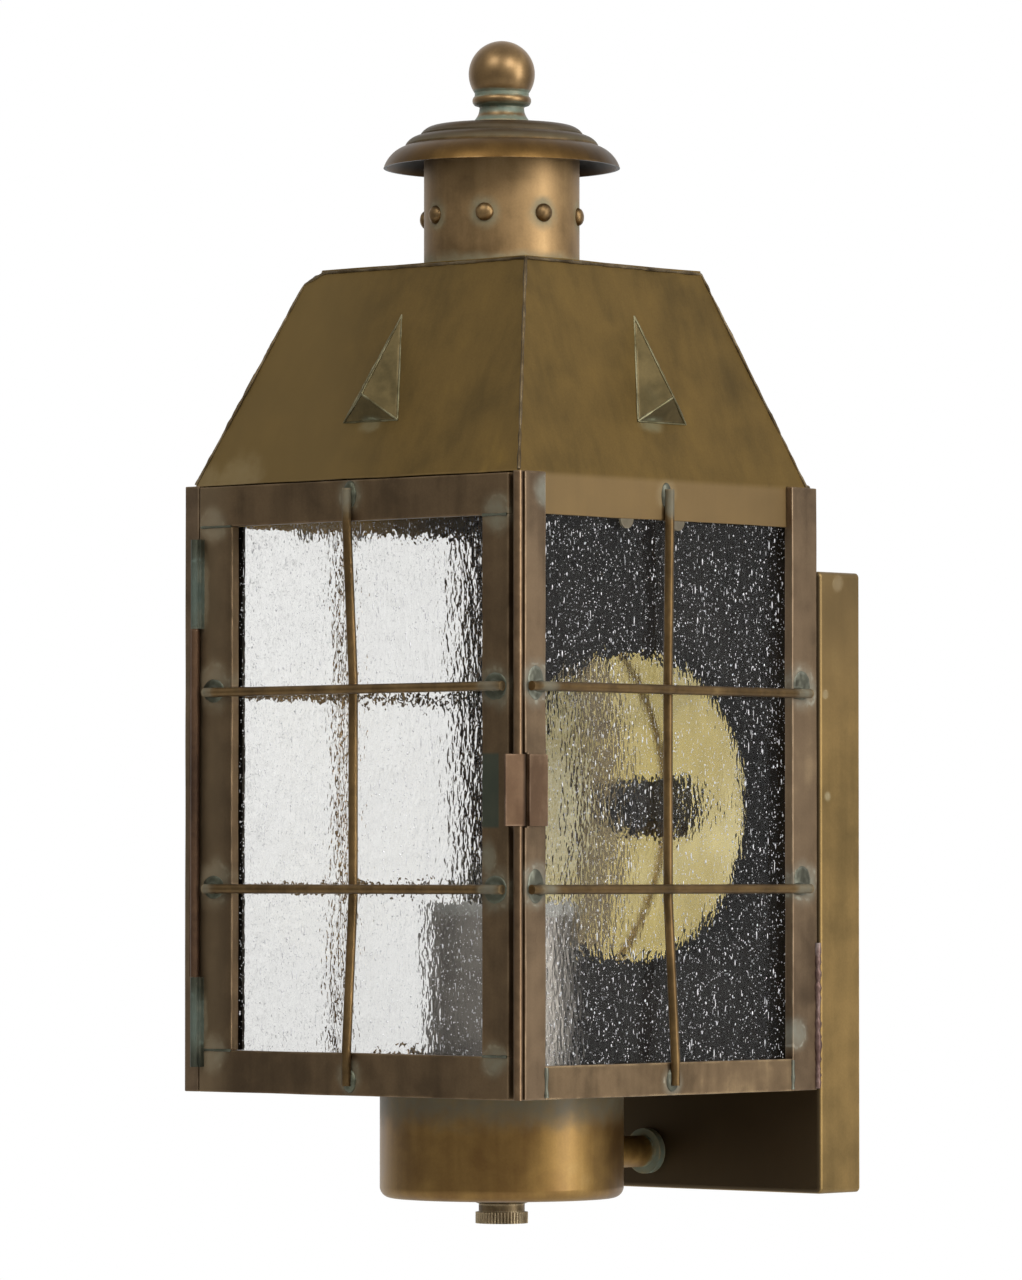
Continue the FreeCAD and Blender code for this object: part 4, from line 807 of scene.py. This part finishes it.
FOOT_RISE, FOOT_NECK, FOOT_FLARE, FOOT_CURVE, FOOT_STEPS = 5.0, 7.0, 2.2, 2.2, 10
FOOT_WALL, FOOT_GAP = 0.6, 0.2
foot = [(FOOT_NECK - FOOT_WALL, FOOT_RISE), (FOOT_NECK - FOOT_WALL, FOOT_GAP)]
for step in range(FOOT_STEPS + 1):
    share = step / FOOT_STEPS
    flare = FOOT_FLARE * (1 - share) ** FOOT_CURVE
    foot.append((FOOT_NECK + flare, FOOT_GAP + share * (FOOT_RISE - FOOT_GAP)))
finial_low, finial_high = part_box("finial")
finial_axis = (finial_low + finial_high) / 2
finial_seat = Vector((finial_axis.x, finial_axis.y, cap_high.z))
turned("finial_foot", foot, finial_seat, True, finial_brass)

# Lamp holder: a brass cup on the floor with a glazed porcelain body, its screw shell and centre contact.
# The cup is a dull grey, and the shell is golden.
aged_brass(
    "socket_brass",
    (0.11, 0.1, 0.088), (0.2, 0.184, 0.163), (0.3, 0.28, 0.245), (0.22, 0.22, 0.2),
    scale=40.0, shine=0.3, spots=[(at(0, 0, 58), 4, UP_AND_DOWN)], on=["socket_cup"],
)
glaze, tree, shader = new_material("porcelain_glaze")
place = object_place(tree)
cream = tint(tree, clouds(tree, place, 90.0, 5.0), (0.62, 0.6, 0.55, 1), (0.8, 0.78, 0.73, 1))
fill_in(tree, shader, Base_Color=cream, Roughness=spread(tree, clouds(tree, place, 300.0, 3.0), 0.1, 0.26))
dress(glaze, "lamp_socket")
aged_brass(
    "shell_brass",
    (0.2, 0.13, 0.05), (0.4, 0.28, 0.12), (0.55, 0.4, 0.18), (0.3, 0.28, 0.18),
    scale=50.0, shine=0.5, green=0.0, on=["screw_shell", "centre_contact"],
)

# Reflector: a shallow bowl spun from brass sheet and lacquered, held to the back panel by a tall nut.
# It has kept its shine, with the lathe's faint rings and some smears. A dark band left of the middle is a
# painted reflection, and the part beyond it is hazed, with pale streaks of painted reflection. The nut is
# near black, which is painted shade.
BOWL_RADIUS, BOWL_CURVE, BOWL_SHEET, BOWL_HOLE, BOWL_STEPS = 48.5, 124.0, 0.8, 3.2, 40
NUT_PROFILE = (
    (BOWL_HOLE, 0.9), (9.0, 0.9), (9.0, 10.0), (8.4, 11.6), (6.4, 12.6), (3.4, 13.2), (BOWL_HOLE, 12.6)
)
BAND_LEFT, BAND_RIGHT, HAZE_EDGE = (-0.026, -0.021), (-0.007, -0.013), (-0.022, -0.03)
HAZE_DULLS, BAND_SHARE, STREAK_SHARE = 0.4, 0.9, 0.9


def bowl_rise(radius):
    """How far the bowl's back stands forward at a radius."""
    return BOWL_CURVE - math.sqrt(BOWL_CURVE ** 2 - radius ** 2)


dish_brass, tree, shader = new_material("dish_brass")
place = object_place(tree)
dish_low, dish_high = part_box("reflector")
dish_middle = (dish_low + dish_high) / 2
out = vector_calc(tree, "MULTIPLY", vector_calc(tree, "SUBTRACT", place, dish_middle), (1.0, 0.0, 1.0))
rings = clouds(tree, add(tree, "CombineXYZ", {"X": vector_calc(tree, "LENGTH", out)}).outputs[0], 900.0, 3.0)
smear = clouds(tree, place, 35.0, 4.0, 0.4)
lacquer_and_reflections = tint(tree, fade(tree, smear, 0.35, 0.7), (0.57, 0.46, 0.18, 1), (0.71, 0.6, 0.29, 1))
across = add(tree, "SeparateXYZ", {0: place}).outputs["X"]
streaks = clouds(tree, vector_calc(tree, "MULTIPLY", place, (1.0, 1.0, 0.05)), 420.0, 3.0)
# Painted reflections: a dark band left of the middle, and pale streaks in the hazed part beyond it.
painted_dark_reflection = times(tree, fade(tree, across, *BAND_LEFT), fade(tree, across, *BAND_RIGHT))
painted_dark_reflection = times(tree, painted_dark_reflection, fade(tree, streaks, 0.2, 0.45))
lacquer_and_reflections = tint(tree, times(tree, painted_dark_reflection, BAND_SHARE), lacquer_and_reflections, (0.16, 0.12, 0.085, 1))
hazed = fade(tree, across, *HAZE_EDGE)
painted_pale_reflections = times(tree, hazed, fade(tree, streaks, 0.6, 0.35))
lacquer_and_reflections = tint(tree, times(tree, painted_pale_reflections, STREAK_SHARE), lacquer_and_reflections, (1.0, 0.93, 0.66, 1))
dull = times_plus(tree, hazed, HAZE_DULLS, spread(tree, smear, 0.02, 0.1))
bump = add(tree, "Bump", {"Height": rings, "Distance": 0.00003, "Strength": 0.3}).outputs[0]
fill_in(tree, shader, Base_Color=lacquer_and_reflections, Roughness=dull, Metallic=1.0, Normal=bump)
dish_back = Vector((dish_middle.x, dish_high.y, dish_middle.z))
radii = [BOWL_HOLE + (BOWL_RADIUS - BOWL_HOLE) * step / BOWL_STEPS for step in range(BOWL_STEPS + 1)]
front = [(radius, bowl_rise(radius) + BOWL_SHEET) for radius in radii]
back = [(radius, bowl_rise(radius)) for radius in reversed(radii)]
bowl = turned("reflector_bowl", front + back, dish_back, False, dish_brass)
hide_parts("reflector")
# The nut's near black is painted shade.
bowl_nut = turned("bowl_nut", NUT_PROFILE, dish_back, False, chamber_brass)
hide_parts("reflector_nut")

# Cup and arm: a spun cup under the floor, held by a washer, a threaded nipple and a knurled nut.
# A short tube takes the leads from the cup to the wall plate. Golden satin brass, grey-green under the floor.
CUP_TONES = (0.155, 0.08, 0.021), (0.28, 0.166, 0.047), (0.365, 0.245, 0.095)
aged_brass(
    "cup_brass", *CUP_TONES, (0.11, 0.108, 0.072),
    shine=0.45, green=0.08, gloss=0.6, coat=0.22, chalky=0.0, spots=[(at(0, 0, 0), 13, UP_AND_DOWN)],
    on=["bottom_cup", "threaded_nipple"],
)
aged_brass(
    "nut_brass",
    (0.12, 0.085, 0.045), (0.27, 0.2, 0.11), (0.45, 0.36, 0.22), (0.2, 0.19, 0.13),
    scale=90.0, shine=0.5, wear=0.8, on=["cup_washer", "knurled_nut"],
)
aged_brass(
    "arm_brass", *CUP_TONES, (0.12, 0.19, 0.16),
    scale=40.0, shine=0.45, spots=[(at(0, 69, -20.8), 4, TO_WALL)], on=["wire_arm"],
)

# Panes: drawn sheet glass, wavy and full of seeds, held in the frames by soldered clips.
# The waves are in the surface, and the seeds are small bubbles inside the sheet. Lamps shine through it.
PANES = ("right_glass", "left_glass", "door_glass")
WAVE_SCALE, WAVE_SHARE, RIPPLE_SCALE, RIPPLE_SHARE = 180.0, 0.6, 750.0, 0.3
PANE_MARGIN, FIRST_SEED, TINY_SEED_STEP = 0.003, 3, 40
pane_glass, tree, shader = new_material("seeded_glass")
place = object_place(tree)
drawn = vector_calc(tree, "MULTIPLY", place, (1.0, 1.0, 0.5))
waves = clouds(tree, drawn, WAVE_SCALE, 2.0, 0.3)
ripples = clouds(tree, drawn, RIPPLE_SCALE, 1.0, 0.2)
height = times_plus(tree, ripples, RIPPLE_SHARE, times(tree, waves, WAVE_SHARE))
bump = add(tree, "Bump", {"Height": height, "Distance": 0.001, "Strength": 0.3}).outputs[0]
fill_in(
    tree, shader, Base_Color=(0.95, 0.95, 0.94, 1), Roughness=0.0, IOR=1.45, Transmission_Weight=1.0,
    Specular_Tint=(0.12, 0.12, 0.12, 1), Normal=bump,
)
lamp_ray = add(tree, "LightPath").outputs["Is Shadow Ray"]
clear = add(tree, "BsdfTransparent").outputs[0]
through = add(tree, "MixShader", {0: lamp_ray, 1: shader.outputs[0], 2: clear}).outputs[0]
tree.links.new(through, tree.nodes["Material Output"].inputs["Surface"])
dress(pane_glass, *PANES)
seed_air, tree, shader = new_material("seed_air")
place = object_place(tree)
air = tint(tree, clouds(tree, place, 300.0), (0.7, 0.7, 0.72, 1), (0.96, 0.96, 0.98, 1))
misted = spread(tree, clouds(tree, place, 500.0), 0.05, 0.3)
fill_in(tree, shader, Base_Color=air, Roughness=misted, Transmission_Weight=0.35)


def build_seed_scatter():
    """Bubbles in a sheet: very many tiny ones, and fewer larger ones, some of them drawn out upright."""
    inputs = [
        ("Tiny Density", "Float"), ("Tiny Radius", "Float"), ("Density", "Float"), ("Radius", "Float"),
        ("Seed", "Int"), ("Material", "Material"),
    ]
    tree, given, sink = new_tree("Seed Scatter", inputs)

    def chance(seed, power):
        inputs = {2: 0.0, 3: 1.0, "Seed": seed}
        luck = put(tree, "FunctionNodeRandomValue", inputs, data_type="FLOAT").outputs[1]
        return calc(tree, "POWER", luck, power)

    def sown(density, seed, bubble, scale):
        inputs = {"Mesh": given["Geometry"], "Density": density, "Seed": seed}
        points = shape(tree, "DistributePointsOnFaces", inputs)
        return shape(tree, "InstanceOnPoints", {"Points": points, "Instance": bubble, "Scale": scale})

    tiny = shape(tree, "MeshUVSphere", {"Segments": 4, "Rings": 2, "Radius": given["Tiny Radius"]})
    tiny_size = times_plus(tree, chance(1, 3.0), 0.7, 0.5)
    tiny = sown(given["Tiny Density"], calc(tree, "ADD", given["Seed"], TINY_SEED_STEP), tiny, tiny_size)
    ball = shape(tree, "MeshIcoSphere", {"Radius": given["Radius"], "Subdivisions": 1})
    size = times_plus(tree, chance(2, 4.0), 0.6, 0.4)
    stretch = chance(5, 3.0)
    narrow = times(tree, size, times_plus(tree, stretch, -0.5, 1.0))
    tall = times(tree, size, times_plus(tree, stretch, 4.5, 1.0))
    scale = add(tree, "CombineXYZ", {0: narrow, 1: narrow, 2: tall}).outputs[0]
    ball = sown(given["Density"], given["Seed"], ball, scale)
    joined = put(tree, "GeometryNodeJoinGeometry")
    for bubbles in (tiny, ball):
        tree.links.new(bubbles, joined.inputs[0])
    finish_tree(tree, joined.outputs[0], given["Material"], sink)
    return tree


def pane_middle(name):
    """The flat sheet half-way through a pane, a little short of its edges."""
    low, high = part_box(name)
    thin = min(range(3), key=lambda axis: high[axis] - low[axis])
    across, up = [axis for axis in range(3) if axis != thin]
    corners = []
    for end_across, end_up in ((0, 0), (1, 0), (1, 1), (0, 1)):
        corner = (low + high) / 2
        corner[across] = high[across] - PANE_MARGIN if end_across else low[across] + PANE_MARGIN
        corner[up] = high[up] - PANE_MARGIN if end_up else low[up] + PANE_MARGIN
        corners.append(corner)
    mesh = bpy.data.meshes.new(f"{name}_middle")
    mesh.from_pydata(corners, [], [(0, 1, 2, 3)])
    return mesh


seed_scatter = build_seed_scatter()
for number, pane in enumerate(PANES):
    grown(
        f"{pane}_seeds", pane_middle(pane), seed_scatter, nodes[pane]["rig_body"], "seeded_glass",
        Tiny_Density=400000.0, Tiny_Radius=0.00025, Density=115000.0, Radius=0.0004,
        Seed=FIRST_SEED + number, Material=seed_air,
    )

# Clips and wires: bent strips that hold the panes, and the round wires soldered over the frames.
# The wires are drawn brass, brown on top and greenish near the solder.
wire_ends = []
for side in (1, -1):
    for level in WIRE_LEVELS:
        wire_ends += [(at(side * 71, -59, level), 6, ROUND), (at(side * 71, 61, level), 6, ROUND)]
        wire_ends.append((at(side * 60, -71, level), 6, ROUND))
    wire_ends.append((at(side * 69, 0, 183), 9, ROUND))
wire_ends.append((at(0.5, -71, 184), 9, ROUND))
wire_brass = aged_brass(
    "wire_brass",
    (0.09, 0.055, 0.022), (0.17, 0.105, 0.042), (0.28, 0.19, 0.08), (0.14, 0.135, 0.095),
    scale=70.0, green=0.2, gloss=0.7, chalky=0.2, spots=wire_ends,
)
for side in ("right", "left", "door"):
    dress(wire_brass, f"{side}_upper_wire", f"{side}_lower_wire", f"{side}_vertical_wire")
aged_brass(
    "clip_brass",
    (0.01, 0.009, 0.008), (0.02, 0.017, 0.014), (0.04, 0.032, 0.02), (0.06, 0.065, 0.05),
    scale=60.0, shine=0.3, green=0.4, on=["door_glass_clips"],
)
aged_brass(
    "tab_brass",
    (0.12, 0.1, 0.07), (0.2, 0.17, 0.12), (0.26, 0.22, 0.15), (0.2, 0.2, 0.16),
    scale=60.0, green=0.6, on=["right_glass_clips", "left_glass_clips"],
)

# Door: four flat brass bars soldered into a frame, hung by two knuckles on the pin of the post's long barrel.
# It faces the weather, so it is the darkest brown, with green solder at its corners and wire ends.
# The latch has left its print on the stile beside it.
DOOR_FACE = -70
DOOR_JOINT_LEVELS, DOOR_JOINTS = (175.5, 13), ((-63, -50), (55.2, 65))
ON_HINGE_EDGE, ON_LATCH_EDGE = (5, 0, 1), (2, 0, 1)


def on_door(x, z):
    """A place on the door's outer face, in millimetres."""
    return at(x, DOOR_FACE, z)


face_stains = [(0.5, 183, 7), (0.5, 6, 7), (-58, 176, 8), (61, 176, 8), (-58, 12, 8), (60, 12, 7)]
door_spots = [(on_door(x, z), reach, ON_FRONT) for x, z, reach in face_stains]
door_spots += [(on_door(-62, 155), 16, ON_HINGE_EDGE), (on_door(-62, 22), 14, ON_HINGE_EDGE)]
door_spots.append((on_door(57.5, 72), 9, ON_LATCH_EDGE))
door_lumps = [
    (on_door(0.5, 183.6), TO_FRONT, 2.6, 4.2, 1.2),
    (on_door(0.5, 4.6), TO_FRONT, 2.6, 3.6, 1.2),
]
for level in WIRE_LEVELS:
    door_spots += [(on_door(-57.5, level + 2), 10, ON_FRONT), (on_door(60.5, level), 9, ON_FRONT)]
    door_lumps += [
        (on_door(-57.5, level + 0.5), TO_FRONT, 4.6, 3.6, 0.5),
        (on_door(-57.2, level), TO_FRONT, 3.0, 1.9, 1.6),
        (on_door(60.3, level), TO_FRONT, 4.6, 4.2, 0.5),
        (on_door(60.6, level), TO_FRONT, 2.6, 2.0, 1.6),
    ]
door_seams = []
for level in DOOR_JOINT_LEVELS:
    for start, end in DOOR_JOINTS:
        door_seams.append([on_door(start, level), on_door(end, level)])
door_brass = aged_brass(
    "door_brass",
    (0.09, 0.059, 0.032), (0.165, 0.109, 0.058), (0.25, 0.168, 0.088), (0.14, 0.133, 0.088),
    scale=26.0, shine=0.3, chalky=0.35, spots=door_spots,
    # Painted light: the hinge side of the door is lighter.
    shades=[("Object", TO_LEFT, 0.047, 0.06, (0.26, 0.19, 0.11), 0.55)],
)
PRINT_MIDDLE, PRINT_SIDE, PRINT_END = on_door(55.5, 92.7), (0.0066, 0.0058), (0.0118, 0.0105)
PRINT_SHARE = 0.75
tree = door_brass.node_tree
base = tree.nodes["Principled BSDF"].inputs["Base Color"]
away = vector_calc(tree, "SUBTRACT", object_place(tree), PRINT_MIDDLE)
away = add(tree, "SeparateXYZ", {0: vector_calc(tree, "ABSOLUTE", away)}).outputs
latch_print = times(tree, fade(tree, away["X"], *PRINT_SIDE), fade(tree, away["Z"], *PRINT_END))
latch_print = times(tree, latch_print, PRINT_SHARE)
feed(tree, base, tint(tree, latch_print, base.links[0].from_socket, (0.05, 0.075, 0.058, 1)))
for bar in ("hinge_stile", "latch_stile", "top_rail", "bottom_rail"):
    eased(f"door_{bar}", door_brass)
door_solder = aged_brass(
    "door_solder",
    (0.065, 0.066, 0.045), (0.11, 0.115, 0.08), (0.2, 0.215, 0.17), (0.13, 0.15, 0.12),
    scale=90.0, green=0.6, wear=0.3,
)
lay_lumps("door_solder_lumps", door_lumps, "door", door_solder)
lay_beads("door_solder_beads", door_seams, "door", door_solder, 0.0004)
aged_brass(
    "barrel_brass",
    (0.07, 0.04, 0.025), (0.14, 0.08, 0.046), (0.22, 0.13, 0.075), (0.15, 0.13, 0.1),
    scale=60.0, shine=0.3, on=["hinge_barrel", "hinge_pin"],
)
aged_brass(
    "knuckle_brass",
    (0.05, 0.05, 0.035), (0.085, 0.09, 0.065), (0.16, 0.15, 0.1), (0.085, 0.115, 0.092),
    scale=60.0, shine=0.3, green=0.8,
    spots=[(at(-63.9, -71.7, 155), 16, ROUND), (at(-63.9, -71.7, 22), 12, ROUND)],
    on=["upper_hinge_knuckle", "lower_hinge_knuckle"],
)

# Latch: a strip of copper-toned brass curled round the corner rod, and a plate on the stile beside it.
# Handling has kept both almost free of verdigris, and the leaf is the darker of the two.
aged_brass(
    "latch_brass",
    (0.075, 0.043, 0.024), (0.12, 0.073, 0.042), (0.19, 0.122, 0.074), (0.13, 0.12, 0.085),
    scale=60.0, green=0.1, gloss=0.4, on=["latch_leaf"],
)
aged_brass(
    "latch_plate_brass",
    (0.13, 0.078, 0.046), (0.22, 0.142, 0.087), (0.32, 0.22, 0.14), (0.2, 0.19, 0.14),
    scale=50.0, green=0.25, on=["latch_plate"],
)

# Stage: a pale floor far below the lantern, clear from below, and a room that is white to the camera.
# Soft lamps stand where the highlights on the cup, the chimney and the finial put them.
STAGE_DROP, STAGE_RADIUS, STAGE_SIDES = 0.45, 1.6, 96
form = bmesh.new()
middle = Matrix.Translation((0, AXIS_Y, -STAGE_DROP))
bmesh.ops.create_circle(form, cap_ends=True, radius=STAGE_RADIUS, segments=STAGE_SIDES, matrix=middle)
floor_mesh = bpy.data.meshes.new("floor")
form.to_mesh(floor_mesh)
form.free()
floor = linked("floor", floor_mesh)
floor_paint, tree, shader = new_material("floor_paint")
mottle = clouds(tree, object_place(tree), 9.0)
pale = tint(tree, mottle, (0.8, 0.8, 0.79, 1), (0.84, 0.84, 0.83, 1))
from_below = add(tree, "NewGeometry").outputs["Backfacing"]
fill_in(tree, shader, Base_Color=pale, Roughness=0.6, Alpha=calc(tree, "SUBTRACT", 1.0, from_below))
floor_mesh.materials.append(floor_paint)

WHITE = (1, 1, 1, 1)
AWAY_FROM_CAMERA = (-0.667, 0.744, 0.03)
ROOM_DARKEST, ROOM_LIGHTEST = 0.3, 0.65
CLOUD_DARKEST, CLOUD_LIGHTEST = 0.57, 1.2
world = bpy.data.worlds.new("studio")
bpy.context.scene.world = world
world.use_nodes = True
tree = world.node_tree
path = add(tree, "LightPath").outputs
way = add(tree, "TexCoord").outputs["Generated"]
behind = fade(tree, vector_calc(tree, "DOT_PRODUCT", way, AWAY_FROM_CAMERA), 0.45, 0.8)
above = fade(tree, vector_calc(tree, "DOT_PRODUCT", way, UP), -0.1, 0.8)
room = spread(tree, above, ROOM_DARKEST, ROOM_LIGHTEST)
room = tint(tree, times(tree, behind, path["Is Glossy Ray"]), room, WHITE)
uneven = spread(tree, clouds(tree, way, 12.0, 2.0), CLOUD_DARKEST, CLOUD_LIGHTEST)
room = tint(tree, path["Is Transmission Ray"], room, uneven)
feed(tree, tree.nodes["Background"].inputs["Color"], tint(tree, path["Is Camera Ray"], room, WHITE))
LAMPS_FACE, LAMPS_AWAY = Vector((0.0, AXIS_Y, 0.08)), 2.2


def soft_lamp(name, turn, rise, size, power):
    """A soft box that faces the lantern from a direction given in degrees."""
    light = bpy.data.lights.new(name, "AREA")
    light.shape = "RECTANGLE"
    light.size, light.size_y = size
    light.energy = power
    lamp = linked(name, light)
    turn, rise = math.radians(turn), math.radians(rise)
    out = Vector((math.cos(turn) * math.cos(rise), math.sin(turn) * math.cos(rise), math.sin(rise)))
    lamp.location = LAMPS_FACE + out * LAMPS_AWAY
    lamp.rotation_euler = (-out).to_track_quat("-Z", "Y").to_euler()


soft_lamp("side_box", turn=15, rise=10, size=(0.7, 1.6), power=26)
soft_lamp("right_box", turn=-18, rise=36, size=(0.8, 0.8), power=19)
soft_lamp("left_box", turn=-80, rise=44, size=(0.8, 0.8), power=14)

# Camera: set from the photograph's perspective, with a long lens a little below the middle of the lantern.
CAMERA_PLACE, CAMERA_LENS, SENSOR_WIDTH = (1.48943, -1.74645, 0.0039), 250.9, 36.0
CAMERA_WAY = Vector((-0.66719809, 0.74418191, 0.03224902))
camera_data = bpy.data.cameras.new("camera")
camera_data.sensor_fit = "HORIZONTAL"
camera_data.sensor_width = SENSOR_WIDTH
camera_data.lens = CAMERA_LENS
camera = linked("camera", camera_data)
camera.location = CAMERA_PLACE
camera.rotation_euler = CAMERA_WAY.to_track_quat("-Z", "Y").to_euler()
bpy.context.scene.camera = camera
bpy.context.scene.view_settings.view_transform = "Standard"
